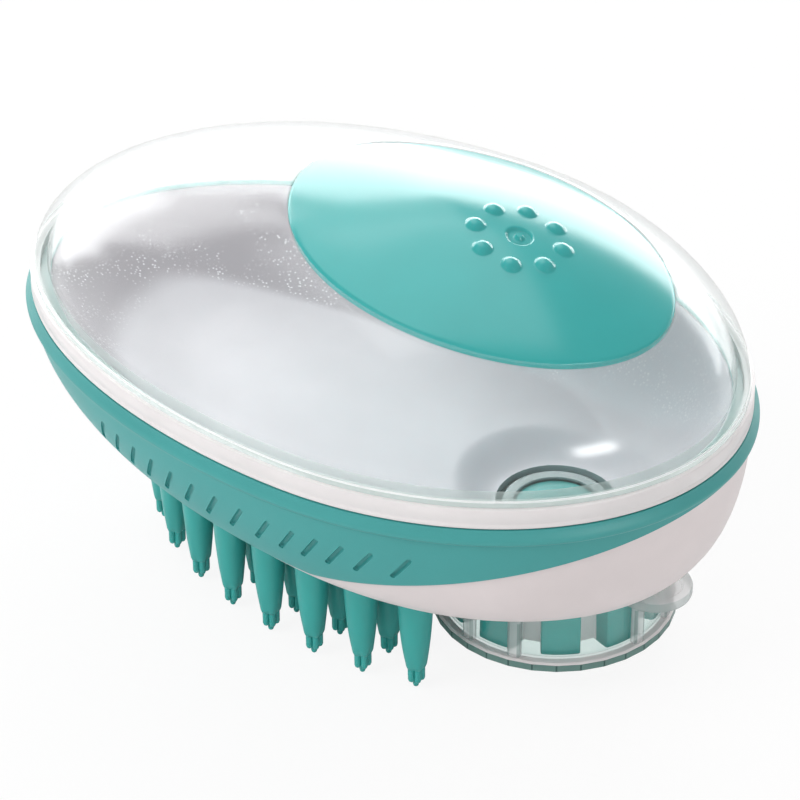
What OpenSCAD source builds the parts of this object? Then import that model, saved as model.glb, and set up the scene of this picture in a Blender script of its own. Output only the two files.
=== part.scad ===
// Handheld bath sprayer: an egg-shaped grooming brush with a clear liquid reservoir,
// a soft press pad on top, a field of soft bristles and a screwed filler cap underneath.
// Frame: +X towards the wide (cap) end, +Z up, origin on the floor under the middle of the body.

/* [Body] */
// Length of the body along X
body_l = 126; // [112:1:140]
// Width of the body along Y
body_w = 85.3; // [78:0.5:94]
// Distance from mid-length to the widest station, towards the wide end
widest_x = 9.6; // [4:0.2:14]
// Height of the parting plane above the bristle tips
rim_z = 42; // [40:0.5:48]
// Depth of the lower shell below the parting plane at the narrow end
shallow_d = 14; // [13:0.5:16]
// Depth of the lower shell below the parting plane at the wide end
deep_d = 26.4; // [25:0.2:28]
// Wall of the lower shell
shell_t = 2.4; // [1.8:0.1:2.6]
// Clearance between pieces that are clamped or stacked together
fit_gap = 0.1; // [0.05:0.05:0.15]

/* [Dome and rim] */
// Height of the white rim ring
ring_h = 3.6; // [3:0.2:5]
// Height of the dome's clear lip above the rim ring
lip_h = 1.2; // [0.8:0.1:2]
// Rise of the dome above its lip
dome_h = 25.9; // [22:0.5:30]
// Wall of the dome
dome_t = 2; // [1.6:0.1:2.4]

/* [Press pad] */
// Distance from the wide end of the body to the centre of the pad
pad_x = 44.2; // [42:0.2:47]
// Half length of the pad
pad_a = 31.8; // [27:0.2:33]
// Half width of the pad
pad_b = 24.3; // [21:0.1:26]
// Depth of the pad's edge below the dome's surface
pad_drop = 0.2; // [0.1:0.02:0.5]
// Thickness of the flexing web
web_t = 1.2; // [0.8:0.1:1.4]
// Width of the flexing web
web_w = 4.8; // [3.6:0.2:6]
// Thickness of the stiff crown
crown_t = 2.4; // [2:0.1:3]
// Number of finger bumps
bump_count = 8; // [6:1:10]
// Radius of the ring of bumps
bump_ring_r = 6.8; // [6:0.1:7.4]
// Width of one bump
bump_d = 3.2; // [2.4:0.1:3.6]

/* [Grip band] */
// Height of the bead under the rim ring
bead_h = 2.8; // [2.2:0.1:3.4]
// How far the bead stands out of the shell
bead_out = 0.9; // [0.5:0.1:1.2]
// Thickness of the band behind the shell's surface
band_t = 1.2; // [0.9:0.1:1.4]
// Number of slanted grooves on each side
groove_count = 14; // [8:1:16]
// Width of one groove
groove_w = 0.9; // [0.6:0.1:1.2]
// Length of one groove
groove_l = 6.2; // [4:0.1:6.6]

/* [Bristles] */
// Distance between neighbouring bristles in a row
bristle_pitch = 9.2; // [8.6:0.1:11]
// Width of a bristle at its root
bristle_d = 5.7; // [4.8:0.1:6]
// Width of a bristle at its shoulder
shoulder_d = 3.4; // [3.2:0.1:3.8]
// Length of the fingers at a bristle's tip
finger_l = 4.1; // [3.6:0.1:5]
// Width of one finger
finger_d = 1; // [0.9:0.05:1.1]
// Half width of the outermost row of bristles
row_b = 27.9; // [27:0.1:28.2]
// Distance between rows
row_step = 6.2; // [6:0.1:6.6]

/* [Filler cap] */
// Distance from the wide end of the body to the axis of the cap
cap_x = 29.4; // [28:0.2:31]
// Radius of the cap's flange
flange_r = 19.6; // [18.6:0.1:20.2]
// Radius of the cap's outer wall
cap_r = 17.3; // [17.1:0.1:17.8]
// Wall of the cap
cap_t = 1.8; // [1.4:0.1:1.9]
// Height of the cap
cap_h = 11; // [10:0.2:12]
// Height of the cap's flange above the floor
cap_z = 5; // [4.8:0.1:6]
// Reach of the tab from the cap's axis
tab_reach = 24.4; // [22.5:0.1:24.6]
// Radius of the filler bore
port_r = 9.6; // [9:0.1:9.8]
// Advance of the cap's thread in one turn
thread_lead = 3; // [2.5:0.1:3.4]

/* [Hidden] */

white = [0.86, 0.82, 0.82];
teal = [0.27, 0.66, 0.64];
clear = [0.85, 0.93, 0.93, 0.35];

// Points around one egg outline, and rows up or down a shell.
around = 60;
rows = 10;
$fn = 48;

// ---- the egg: two half ellipses that meet at the widest station ----
wide_a = body_l / 2 - widest_x;
narrow_a = body_l / 2 + widest_x;
half_w = body_w / 2;
pad_mid = body_l / 2 - pad_x;
cap_mid = body_l / 2 - cap_x;
// Half length of the egg on the side that angle t looks at
function half_len(t) = cos(t) < 0 ? narrow_a : wide_a;
// Point of the egg at angle t, scaled by s, with its outline moved inwards by inset
function egg(t, s, inset) = [widest_x + s * (half_len(t) - inset) * cos(t), s * (half_w - inset) * sin(t)];
// Scale of the egg that passes through a point
function egg_scale(x, y, inset) =
    norm([(x - widest_x) / ((x < widest_x ? narrow_a : wide_a) - inset), y / (half_w - inset)]);
// Angle of point i of an outline
function turn(i) = i * 360 / around;

// ---- lower shell: boxy section whose floor slopes down towards the wide end ----
hull_power = 12;
slope_power = 1.25;
function depth_at(x) =
    shallow_d + (deep_d - shallow_d) * pow(max(0, min(1, x / body_l + 0.5)), slope_power);
// Height of the shell's surface, moved inwards by inset, at station x and scale s
function hull_z(x, s, inset) = rim_z - (depth_at(x) - inset) * sqrt(max(0, 1 - pow(s, hull_power)));
function hull_pt(t, s, inset) = let (p = egg(t, s, inset)) [p.x, p.y, hull_z(p.x, s, inset)];
// Height of that surface over a point in plan
function hull_under(x, y, inset) = hull_z(x, min(1, egg_scale(x, y, inset)), inset);
// Scale of the egg where the shell has fallen by this share of its depth
function share_scale(f) = pow(1 - f * f, 1 / hull_power);

// ---- dome ----
lip_z = rim_z + ring_h + lip_h;
lip_inset = 0.55;
dome_inset = 0.85;
dome_rho_power = 1.65;
dome_z_power = 1.8;
// Height of the dome over a point, lowered by down
function dome_z(x, y, down) =
    let (r = min(1, egg_scale(x, y, dome_inset + down)))
    lip_z + (dome_h - down) * pow(1 - pow(r, dome_rho_power), 1 / dome_z_power);
// Point of the pad's outline at angle t, grown outwards
function oval(t, grow) = [pad_mid + (pad_a + grow) * cos(t), (pad_b + grow) * sin(t)];
// A point laid on the dome's surface, or on a surface below it
function on_dome(p, down, drop) = [p.x, p.y, dome_z(p.x, p.y, down) - drop];

// ---- solids from closed rings of points ----
// All points of the rings, one after another
function flat_list(rings) = [for (r = rings) for (p = r) p];
// Triangles between two rings of n points that start at indices a and b
function band_faces(a, b, n) =
    [for (i = [0 : n - 1]) let (j = (i + 1) % n) each [[a + i, b + j, a + j], [a + i, b + i, b + j]]];
// A tube that closes on itself: the rings follow a closed section all the way round.
module ring_solid(rings) {
    n = len(rings[0]);
    m = len(rings);
    polyhedron(flat_list(rings), [for (k = [0 : m - 1]) each band_faces(k * n, ((k + 1) % m) * n, n)],
        convexity = 8);
}
// A solid between two poles: the rings follow an open section from the bottom pole to the top pole.
module pole_solid(bottom, rings, top) {
    n = len(rings[0]);
    m = len(rings);
    low = m * n;
    high = low + 1;
    polyhedron(concat(flat_list(rings), [bottom, top]), concat(
        [for (i = [0 : n - 1]) [low, i, (i + 1) % n]],
        [for (k = [0 : m - 2]) each band_faces(k * n, (k + 1) * n, n)],
        [for (i = [0 : n - 1]) [high, low - n + (i + 1) % n, low - n + i]]), convexity = 8);
}
// One ring of the egg at a height and inset.
function egg_ring(inset, z) = [for (i = [0 : around - 1]) let (p = egg(turn(i), 1, inset)) [p.x, p.y, z]];
// An upright ring whose section is a polygon of [inset, z], counted from outside, bottom, inwards.
module egg_profile(section) {
    ring_solid([for (q = section) egg_ring(q[0], q[1])]);
}

// ---- dome and its seat ----
// insets of the dome's skirt and of what it stands on, and the heights of the stack under it
skirt_in = 3.4;
pan_lip_h = 1.2;
gasket_h = 0.8;
ring_foot = 1.6;
gasket_z = rim_z + pan_lip_h + fit_gap;
skirt_z = gasket_z + gasket_h + fit_gap;

// Share of the way from the rim to the pad opening, in smaller steps where the dome is steep
dome_creep = 1.8;
function creep(k) = pow(k / rows, dome_creep);
function dome_row(share, down, grow) = [for (i = [0 : around - 1])
    let (t = turn(i), p = egg(t, 1, dome_inset + down), q = oval(t, grow), m = p + (q - p) * share)
    on_dome(m, down, 0)];

opening_gap = 0.1;
// Clear dome: skirt inside the rim ring, lip on top of it, shell up to the ledge round the opening
module dome_shell() {
    color(clear) ring_solid(concat(
        [egg_ring(ring_foot + fit_gap, skirt_z), egg_ring(ring_foot + fit_gap, rim_z + ring_h + fit_gap),
            egg_ring(lip_inset, rim_z + ring_h + fit_gap), egg_ring(lip_inset, lip_z)],
        [for (k = [0 : rows]) dome_row(creep(k), 0, opening_gap)],
        [oval_row(opening_gap, 0, ledge_drop), oval_row(-ledge_w, 0, ledge_drop)],
        [for (k = [rows : -1 : 0]) dome_row(creep(k), dome_t, -ledge_w)],
        [egg_ring(skirt_in, skirt_z)]));
}

// White ring, with a small chamfer on its upper edge
ring_chamfer = 0.3;
module rim_ring() {
    color(white) egg_profile([[ring_foot, rim_z + fit_gap], [0, rim_z + fit_gap],
        [0, rim_z + ring_h - ring_chamfer], [ring_chamfer, rim_z + ring_h], [ring_foot, rim_z + ring_h]]);
}

// Flat gasket between the pan and the dome's skirt
module dome_gasket() {
    color(teal) egg_profile([[skirt_in - fit_gap, gasket_z], [ring_foot + fit_gap, gasket_z],
        [ring_foot + fit_gap, gasket_z + gasket_h], [skirt_in - fit_gap, gasket_z + gasket_h]]);
}

// ---- press pad: rim bonded on a ledge of the dome, web and crown ----
pad_rim_w = 2;
pad_rim_t = 0.9;
bond_gap = 0.1;
ledge_w = pad_rim_w - 0.3;
ledge_drop = pad_drop + pad_rim_t + bond_gap;
pad_gap = 0.2;
// The pad's outline, grown, on the dome surface lowered by down and then dropped
function oval_row(grow, down, drop) = [for (i = [0 : around - 1]) on_dome(oval(turn(i), grow), down, drop)];

// Rim of the pad, bonded on the ledge and flush with the dome
module pad_rim() {
    color(teal) ring_solid([oval_row(0, 0, pad_drop + pad_rim_t), oval_row(0, 0, pad_drop),
        oval_row(-pad_rim_w, 0, pad_drop), oval_row(-pad_rim_w, 0, pad_drop + pad_rim_t)]);
}

// Thin web that flexes between the rim and the crown
web_out = -pad_rim_w - fit_gap;
web_in = web_out - web_w;
module pad_web() {
    color(teal) ring_solid([oval_row(web_out, 0, pad_drop + web_t), oval_row(web_out, 0, pad_drop),
        oval_row((web_out + web_in) / 2, 0, pad_drop), oval_row(web_in, 0, pad_drop),
        oval_row(web_in, 0, pad_drop + web_t), oval_row((web_out + web_in) / 2, 0, pad_drop + web_t)]);
}

// Stiff crown with a ring of bumps round a dimple
crown_out = web_in - pad_gap;
crown_rows = 6;
// One ring of the crown: shares of its own oval, on the pad's surface lowered by drop.
function crown_row(share, drop) = [for (i = [0 : around - 1])
    let (q = oval(turn(i), crown_out)) on_dome([pad_mid + (q.x - pad_mid) * share, q.y * share], 0, drop)];
bump_offset = 7;
ring_x = pad_mid + bump_offset;
bump_ball = 1.9;
dimple_r = 2.1;
dimple_h = 0.5;
nub_r = 0.75;
module pad_crown() {
    nub_z = dome_z(ring_x, 0, 0) - pad_drop;
    color(teal) difference() {
        union() {
            pole_solid(on_dome([pad_mid, 0], 0, pad_drop + crown_t),
                concat([for (k = [1 : crown_rows]) crown_row(k / crown_rows, pad_drop + crown_t)],
                    [for (k = [crown_rows : -1 : 1]) crown_row(k / crown_rows, pad_drop)]),
                on_dome([pad_mid, 0], 0, pad_drop));
            for (i = [0 : bump_count - 1]) {
                a = (i + 0.5) * 360 / bump_count;
                x = ring_x + bump_ring_r * cos(a);
                y = bump_ring_r * sin(a);
                sink = sqrt(bump_ball * bump_ball - bump_d * bump_d / 4);
                translate([x, y, dome_z(x, y, 0) - pad_drop - sink])
                    intersection() {
                        sphere(r = bump_ball);
                        cylinder(r = bump_d / 2, h = 2 * bump_ball);
                    }
            }
        }
        translate([ring_x, 0, nub_z - dimple_h])
            difference() {
                cylinder(r = dimple_r, h = 2 * bump_ball);
                cylinder(r = nub_r, h = dimple_h);
            }
    }
}

// ---- stack above the bristles, as insets from the lower shell's outer surface ----
mat_face = 0.3;
mat_lip_t = 0.9;
mat_in = shell_t + fit_gap;
mat_top = mat_in + mat_lip_t;
plate_in = mat_top + fit_gap;
plate_t = 1.6;
plate_top = plate_in + plate_t;
pan_gap = 0.4;
pan_in = plate_top + pan_gap;
pan_t = 1.6;
pan_top = pan_in + pan_t;

// Scales of the egg: mat opening, mat lip, plate edge, screw circle
mat_scale = 0.74;
lip_scale = 0.775;
plate_scale = 0.93;
screw_scale = 0.785;
seal_gap = 0.3;
// The seal and the neck's wall share the room between the port and the cap's wall.
seal_room = cap_r - cap_t - 2 * seal_gap - port_r;
seal_w = 0.31 * seal_room;
neck_r = port_r + seal_room - seal_w;
neck_gap = 0.25;
clear_r = neck_r + neck_gap;

// Outline of the mat opening in plan: the egg, kept clear of the filler.
port_clear = 4.2;
module mat_outline(scale_of, back) {
    difference() {
        polygon([for (i = [0 : around - 1]) egg(turn(i), scale_of, 0)]);
        translate([cap_mid, 0]) circle(r = flange_r + back);
    }
}

// ---- rows of bristles: ellipses inside the egg, kept clear of the turning tab ----
row_past = 0.5;
row_inset = 3.2;
row_front = mat_scale * wide_a + row_past;
row_back = mat_scale * narrow_a - row_inset;
// Behind the widest station a row is a little more pointed than an ellipse.
row_round = 1.9;
function bend(v, k) = sign(v) * pow(abs(v), k);
function row_pt(t, inward) = let (back = cos(t) < 0, k = back ? 2 / row_round : 1)
    [widest_x + ((back ? row_back : row_front) - inward) * bend(cos(t), k),
        (row_b - inward) * bend(sin(t), k)];
// Distance along a row from the narrow end against angle, in steps of one degree
function row_table(inward) =
    [for (i = 0, d = 0; i <= 180; d = d + norm(row_pt(181 + i, inward) - row_pt(180 + i, inward)), i = i + 1)
        [d, 180 + i]];
// Places of the bristles along a row on both sides, from its first place at the narrow end
function row_spots(inward, first, pitch) = let (table = row_table(inward), all = table[180][0])
    [for (d = [first : pitch : all]) let (p = row_pt(lookup(d, table), inward))
        if (clear_of_tab(p)) each (abs(p.y) < bristle_d / 2 ? [[p.x, 0]] : [p, [p.x, -p.y]])];
tab_room = 0.1;
function clear_of_tab(p) = norm([p.x - cap_mid, p.y]) > tab_reach + bristle_d / 2 + tab_room;

// ---- outlets and screws ----
outlet_r = 1.1;
nozzle_r = 2;
outlet_row = 3;
outlet_spots = row_spots(outlet_row * row_step, bristle_pitch, 2 * bristle_pitch);
screw_r = 1.25;
screw_head_r = 2;
screw_turns = [50, 95, 140, 220, 265, 310];
function screw_spot(t) = egg(t, screw_scale, 0);
screw_head_h = 1.3;
screw_l = 9.5;
boss_r = 2.5;

module at_spots(spots) {
    for (p = spots) translate([p.x, p.y, 0]) children();
}

// ---- lower shell ----
edge_side = 0.76;
edge_wide = 0.12;
edge_start = 0.1;
// Share of the shell's depth where the grip band ends
function edge_share(t) = let (u = max(0, (cos(t) - edge_start) / (1 - edge_start)))
    edge_side - (edge_side - edge_wide) * u;
function band_row(part, inset) =
    [for (i = [0 : around - 1]) let (t = turn(i)) hull_pt(t, share_scale(part * edge_share(t)), inset)];
function below_band(part, inset) = [for (i = [0 : around - 1])
    let (t = turn(i), s0 = share_scale(edge_share(t))) hull_pt(t, s0 * (1 - part), inset)];

// White lower shell: set back behind the grip band, open for the mat, the neck and the screws
band_wall = 1.5;
module body_shell() {
    top_z = rim_z - fit_gap;
    seat = band_t + fit_gap;
    color(white) difference() {
        pole_solid([widest_x, 0, hull_z(widest_x, 0, 0)],
            concat([for (k = [5 : -1 : 1]) below_band(k / 6, 0)],
                [for (k = [1, 0.1]) below_band(0.02 * k, 0)],
                [for (k = [4 : -1 : 1]) band_row(k / 4, seat)],
                [egg_ring(seat, top_z), egg_ring(skirt_in, top_z)],
                [for (k = [1 : 4]) band_row(k / 4, seat + band_wall)],
                [for (k = [0.3, 1, 2, 3, 4, 5]) below_band(k / 6, shell_t)]),
            [widest_x, 0, hull_z(widest_x, 0, shell_t)]);
        linear_extrude(height = rim_z) mat_outline(mat_scale, port_clear);
        translate([cap_mid, 0, 0]) cylinder(r = clear_r, h = rim_z);
        at_spots([for (t = screw_turns) screw_spot(t)]) cylinder(r = screw_r + fit_gap, h = rim_z);
        for (t = screw_turns) {
            p = screw_spot(t);
            translate([p.x, p.y, 0]) cylinder(r = screw_head_r + fit_gap, h = head_top(p));
        }
    }
}
// Height of a screw's head in its counterbore
function head_top(p) = hull_under(p.x, p.y, 0) + screw_head_h;

// ---- grip band ----
groove_from = 66.7;
groove_to = 122.5;
groove_low = 0.52;
groove_high = 0.385;
groove_depth = 0.6;
proud = 0.3;
groove_reach = 3;
module groove_cut(side, k) {
    f = k / (groove_count - 1);
    t = groove_from + (groove_to - groove_from) * pow(f, 0.83);
    share = min(groove_high + 0.145 * pow(f, 0.75), groove_low, 0.7 * edge_share(t));
    p = hull_pt(-t, share_scale(share), -proud);
    q = hull_pt(-t - 1, share_scale(share), -proud);
    low = hull_pt(-t, share_scale(share + 0.1), -proud);
    heading = atan2(q.y - p.y, q.x - p.x);
    lean = atan2(norm([p.x - low.x, p.y - low.y]), p.z - low.z);
    slant = 36 - 10 * f;
    length = groove_l - 0.9 * (1 - f);
    mirror([0, side, 0]) translate(p) rotate([0, 0, heading]) rotate([-lean, 0, 0])
        rotate([0, -slant, 0]) translate([-groove_w / 2, -groove_depth, -length / 2])
            cube([groove_w, groove_reach, length]);
}

module grip_band() {
    color(teal) difference() {
        ring_solid(concat(
            [for (k = [1 : 4]) band_row(k / 4, band_t)],
            [for (k = [6 : -1 : 1]) wall_row(k / 6, -proud)],
            [egg_ring(-proud, rim_z - 0.97 * bead_h), egg_ring(-0.8 * bead_out, rim_z - 0.8 * bead_h),
                egg_ring(-bead_out, rim_z - 0.45 * bead_h), egg_ring(-0.65 * bead_out, rim_z - 0.16 * bead_h),
                egg_ring(-0.1, rim_z), egg_ring(band_t, rim_z)]));
        for (side = [0, 1]) for (k = [0 : groove_count - 1]) groove_cut(side, k);
    }
}
// Rows of the band's wall, from under the bead to the lower edge
function wall_row(part, inset) = [for (i = [0 : around - 1])
    let (t = turn(i), p0 = egg(t, 1, 0), f0 = bead_h / depth_at(p0.x), f1 = max(f0 + 0.005, edge_share(t)))
    hull_pt(t, share_scale(f0 + (f1 - f0) * part), inset)];

// ---- mat, plate and pan ----
// Silicone mat: its face fills the opening and its lip lies on the shell
module bristle_mat() {
    gap = fit_gap / half_w;
    color(teal) difference() {
        pole_solid([widest_x, 0, hull_z(widest_x, 0, mat_face)],
            concat([for (k = [1 : 5]) layer_row((mat_scale - gap) * k / 5, mat_face)],
                [layer_row(mat_scale - gap, mat_in), layer_row(lip_scale, mat_in)],
                [layer_row(lip_scale, mat_top)],
                [for (k = [4 : -1 : 1]) layer_row(lip_scale * k / 5, mat_top)]),
            [widest_x, 0, hull_z(widest_x, 0, mat_top)]);
        translate([cap_mid, 0, 0]) cylinder(r = flange_r + port_clear + fit_gap, h = rim_z);
        at_spots(outlet_spots) cylinder(r = nozzle_r + fit_gap, h = rim_z);
    }
}
function layer_row(s, inset) = [for (i = [0 : around - 1]) hull_pt(turn(i), s, inset)];

// Plate that clamps the mat's lip, held by the screws
module mat_plate() {
    color(white) difference() {
        pole_solid([widest_x, 0, hull_z(widest_x, 0, plate_in)],
            concat([for (k = [1 : 6]) layer_row(plate_scale * k / 6, plate_in)],
                [for (k = [6 : -1 : 1]) layer_row(plate_scale * k / 6, plate_top)]),
            [widest_x, 0, hull_z(widest_x, 0, plate_top)]);
        translate([cap_mid, 0, 0]) cylinder(r = clear_r, h = rim_z);
        at_spots(outlet_spots) cylinder(r = nozzle_r + fit_gap, h = rim_z);
        for (t = screw_turns) {
            p = screw_spot(t);
            translate([p.x, p.y, 0]) cylinder(r = screw_r + fit_gap, h = rim_z);
            translate([p.x, p.y, boss_foot(p) - fit_gap]) cylinder(r = boss_r + fit_gap, h = rim_z);
        }
    }
}
// Foot of a screw boss, just above the plate
function boss_foot(p) = hull_under(p.x, p.y, plate_top) + fit_gap;

// Pan that closes the reservoir: floor, flaring wall, screw bosses, outlet nozzles and filler collar
pan_inset = 3.8;
pan_floor = 0.62;
pan_wall_power = 1.7;
function pan_fall(s) = s < pan_floor ? 1 : 1 - pow((s - pan_floor) / (1 - pan_floor), pan_wall_power);
function pan_pt(t, s, up) = let (p = egg(t, s, pan_inset))
    [p.x, p.y, rim_z + fit_gap - (depth_at(p.x) - pan_in) * pan_fall(s) + up];
function pan_row(s, up) = [for (i = [0 : around - 1]) pan_pt(turn(i), s, up)];
neck_step = 0.556;
neck_top_r = port_r + neck_step * (neck_r - port_r);
// The floor runs down to the port in a funnel
funnel_up = 0.8;
funnel_h = 6;
// Collar from the neck's top (up = 0) into the sloping floor (up = 1)
function collar_row(r, up) = [for (i = [0 : around - 1])
    let (p = [cap_mid + r * cos(turn(i)), r * sin(turn(i))], low = neck_top + fit_gap)
        [p.x, p.y, low + up * (pan_over(p) + pan_t / 2 - low)]];

module reservoir_pan() {
    lip_top = rim_z + pan_lip_h;
    color(white) difference() {
        union() {
            pole_solid([widest_x, 0, rim_z + fit_gap - depth_at(widest_x) + pan_in],
                concat([for (s = [0.2, 0.4, 0.56, 0.64, 0.72, 0.8, 0.88, 0.95, 1]) pan_row(s, 0)],
                    [egg_ring(ring_foot + fit_gap, rim_z + fit_gap), egg_ring(ring_foot + fit_gap, lip_top)],
                    [for (s = [0.98, 0.93, 0.87, 0.8, 0.72, 0.64, 0.56, 0.4, 0.2]) pan_row(s, pan_t)]),
                [widest_x, 0, rim_z + fit_gap - depth_at(widest_x) + pan_in + pan_t]);
            for (t = screw_turns) {
                p = screw_spot(t);
                foot = boss_foot(p);
                translate([p.x, p.y, foot]) cylinder(r = boss_r, h = pan_over(p) + pan_t / 2 - foot);
            }
            for (p = outlet_spots) {
                foot = hull_under(p.x, p.y, mat_face);
                translate([p.x, p.y, foot]) cylinder(r = nozzle_r, h = pan_over(p) + pan_t / 2 - foot);
            }
            ring_solid([collar_row(port_r - 1, 0), collar_row(neck_r - 0.1, 0),
                collar_row(neck_r - 0.1, 1), collar_row(port_r - 1, 1)]);
        }
        translate([cap_mid, 0, 0]) cylinder(r = port_r, h = lip_top);
        translate([cap_mid, 0, neck_top + funnel_up])
            cylinder(r1 = port_r, r2 = port_r + funnel_h, h = funnel_h);
        at_spots(outlet_spots) cylinder(r = outlet_r, h = lip_top);
        for (t = screw_turns) {
            p = screw_spot(t);
            translate([p.x, p.y, 0]) cylinder(r = screw_r, h = pan_over(p) - 0.6);
        }
    }
}
// Underside of the pan over a point
function pan_over(p) = let (s = min(1, egg_scale(p.x, p.y, pan_inset)))
    rim_z + fit_gap - (depth_at(p.x) - pan_in) * pan_fall(s);

valve_h = 3;
valve_face = 1;
slit_w = 0.3;
slit_lip = 0.35;
// Slit plugs in the nozzles
module outlet_valves() {
    color(teal) for (p = outlet_spots)
        translate([p.x, p.y, hull_under(p.x, p.y, mat_face) + fit_gap]) difference() {
            cylinder(r = outlet_r - 0.03, h = valve_h);
            translate([0, 0, valve_face]) cylinder(r1 = slit_w, r2 = outlet_r - slit_lip, h = valve_h);
            translate([-slit_w / 2, -outlet_r / 2, -valve_h / 2]) cube([slit_w, outlet_r, valve_h]);
        }
}

// Screws from below, through shell and plate, into the pan's bosses
module plate_screws() {
    color("silver") for (t = screw_turns) {
        p = screw_spot(t);
        top = head_top(p) - fit_gap;
        translate([p.x, p.y, top - screw_head_h + 0.3]) difference() {
            union() {
                cylinder(r = screw_head_r, h = screw_head_h - 0.3);
                cylinder(r = screw_r - 0.05, h = min(screw_l, pan_over(p) - top));
            }
            for (a = [0, 90]) rotate([0, 0, a]) translate([-1.2, -0.25, -0.1]) cube([2.4, 0.5, 0.7]);
        }
    }
}

// ---- bristles ----
finger_count = 5;
root_in = 0.5;
lean = 0.03;
side_z = 1.2;
// A tapered stem that ends in five fingers round a longer one, leaning in by lean degrees per mm of y
module bristle(p) {
    root = hull_under(p.x, p.y, mat_face) + root_in;
    finger_r = finger_d / 2;
    mid_r = finger_r - 0.05;
    orbit = 2 * finger_r + 0.02;
    swell = (bristle_d - shoulder_d) / 2;
    stem = root - finger_l;
    translate([p.x, p.y, 0.02]) rotate([-lean * p.y, 0, 0]) {
        rotate_extrude() polygon([[0, 0], [0.28, 0.06], [0.42, 0.2], [mid_r, 0.5], [mid_r, finger_l],
            [shoulder_d / 2, finger_l], [shoulder_d / 2 + 0.52 * swell, finger_l + 0.35 * stem],
            [shoulder_d / 2 + 0.85 * swell, finger_l + 0.7 * stem], [bristle_d / 2, root], [0, root]]);
        for (i = [0 : finger_count - 1]) rotate([0, 0, (i + 0.5) * 360 / finger_count])
            translate([orbit, 0, side_z]) rotate_extrude() polygon([[0, 0], [0.3, 0.08], [0.46, 0.25],
                [finger_r, 0.55], [finger_r, finger_l], [0, finger_l]]);
    }
}
module bristle_row(spots) {
    color(teal) for (p = spots) bristle(p);
}
first_outer = 3.9;
first_second = 4.4;
module bristles_outer() { bristle_row(row_spots(0, first_outer, bristle_pitch)); }
module bristles_second() { bristle_row(row_spots(row_step, first_second, bristle_pitch)); }
// The third and fifth rows are full; the fourth shares its places with the outlets.
module bristles_inner() {
    bristle_row(concat(row_spots(2 * row_step, bristle_pitch / 2, bristle_pitch),
        row_spots(outlet_row * row_step, 0, 2 * bristle_pitch),
        row_spots(4 * row_step, bristle_pitch / 2, bristle_pitch)));
}

// ---- filler: neck, cap, stopper and seal ----
// Sections of a helical ridge, each a trapezium of height w
steps = 24;
fade = 4;
function helix(turns, r0, r1, z0, lead, w) = let (n = steps * turns)
    [for (i = [0 : n]) let (a = i * 360 / steps, z = z0 + lead * i / steps,
        taper = max(0.15, min(1, i / fade, (n - i) / fade)), r = r0 + (r1 - r0) * taper)
            [[r0 * cos(a), r0 * sin(a), z], [r * cos(a), r * sin(a), z + 0.3 * w],
                [r * cos(a), r * sin(a), z + 0.7 * w], [r0 * cos(a), r0 * sin(a), z + w]]];
// A helical ridge between two radii, run out to nothing at both ends.
module thread(turns, r0, r1, z0, lead, w, flip) {
    sections = helix(turns, r0, r1, z0, lead, w);
    m = len(sections);
    side = [for (k = [0 : m - 2]) each band_faces(4 * k, 4 * (k + 1), 4)];
    ends = [[1, 2, 3], [0, 1, 3], [4 * m - 2, 4 * m - 3, 4 * m - 4], [4 * m - 1, 4 * m - 2, 4 * m - 4]];
    faces = concat(side, ends);
    polyhedron(flat_list(sections), flip ? [for (f = faces) [f[2], f[1], f[0]]] : faces, convexity = 8);
}

neck_low = cap_z + 3.2;
neck_drop = 19.6;
neck_shoulder = rim_z - neck_drop;
gasket_t = 0.4;
neck_top = neck_shoulder + gasket_t;
floor_top = rim_z + fit_gap - depth_at(cap_mid) + pan_top;
thread_w = 1;
thread_drop = 11.4;
thread_z = neck_shoulder - thread_drop;
stem_gap = 0.9;
stem_r = port_r - stem_gap;
ridge = 0.55;
// Threaded neck from the pan down to the cap
module port_neck() {
    color(white) translate([cap_mid, 0, 0]) union() {
        difference() {
            union() {
                translate([0, 0, neck_low]) cylinder(r = neck_r, h = neck_shoulder - neck_low);
                translate([0, 0, neck_low]) cylinder(r = neck_top_r, h = neck_top - neck_low);
            }
            cylinder(r = port_r, h = rim_z);
        }
        rotate([0, 0, 180])
            thread(2.5, port_r + 0.2, port_r - ridge, thread_z + thread_lead, thread_lead, thread_w, false);
    }
}

// Ring gasket on the neck's shoulder
module neck_gasket() {
    color(teal) translate([cap_mid, 0, neck_shoulder + fit_gap / 2]) difference() {
        cylinder(r = neck_r - 0.1, h = gasket_t);
        translate([0, 0, -1]) cylinder(r = neck_top_r + 0.1, h = 3);
    }
}

flange_h = 2.2;
cap_floor_t = 1.6;
stem_sink = 2.5;
stem_top = floor_top - stem_sink;
tab_t = 1.8;
tab_w = 12;
// The ribs stand in pairs, a quarter turn apart
rib_count = 8;
rib_turn = 13;
rib_w = 2.2;
rib_out = 1.3;
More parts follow.
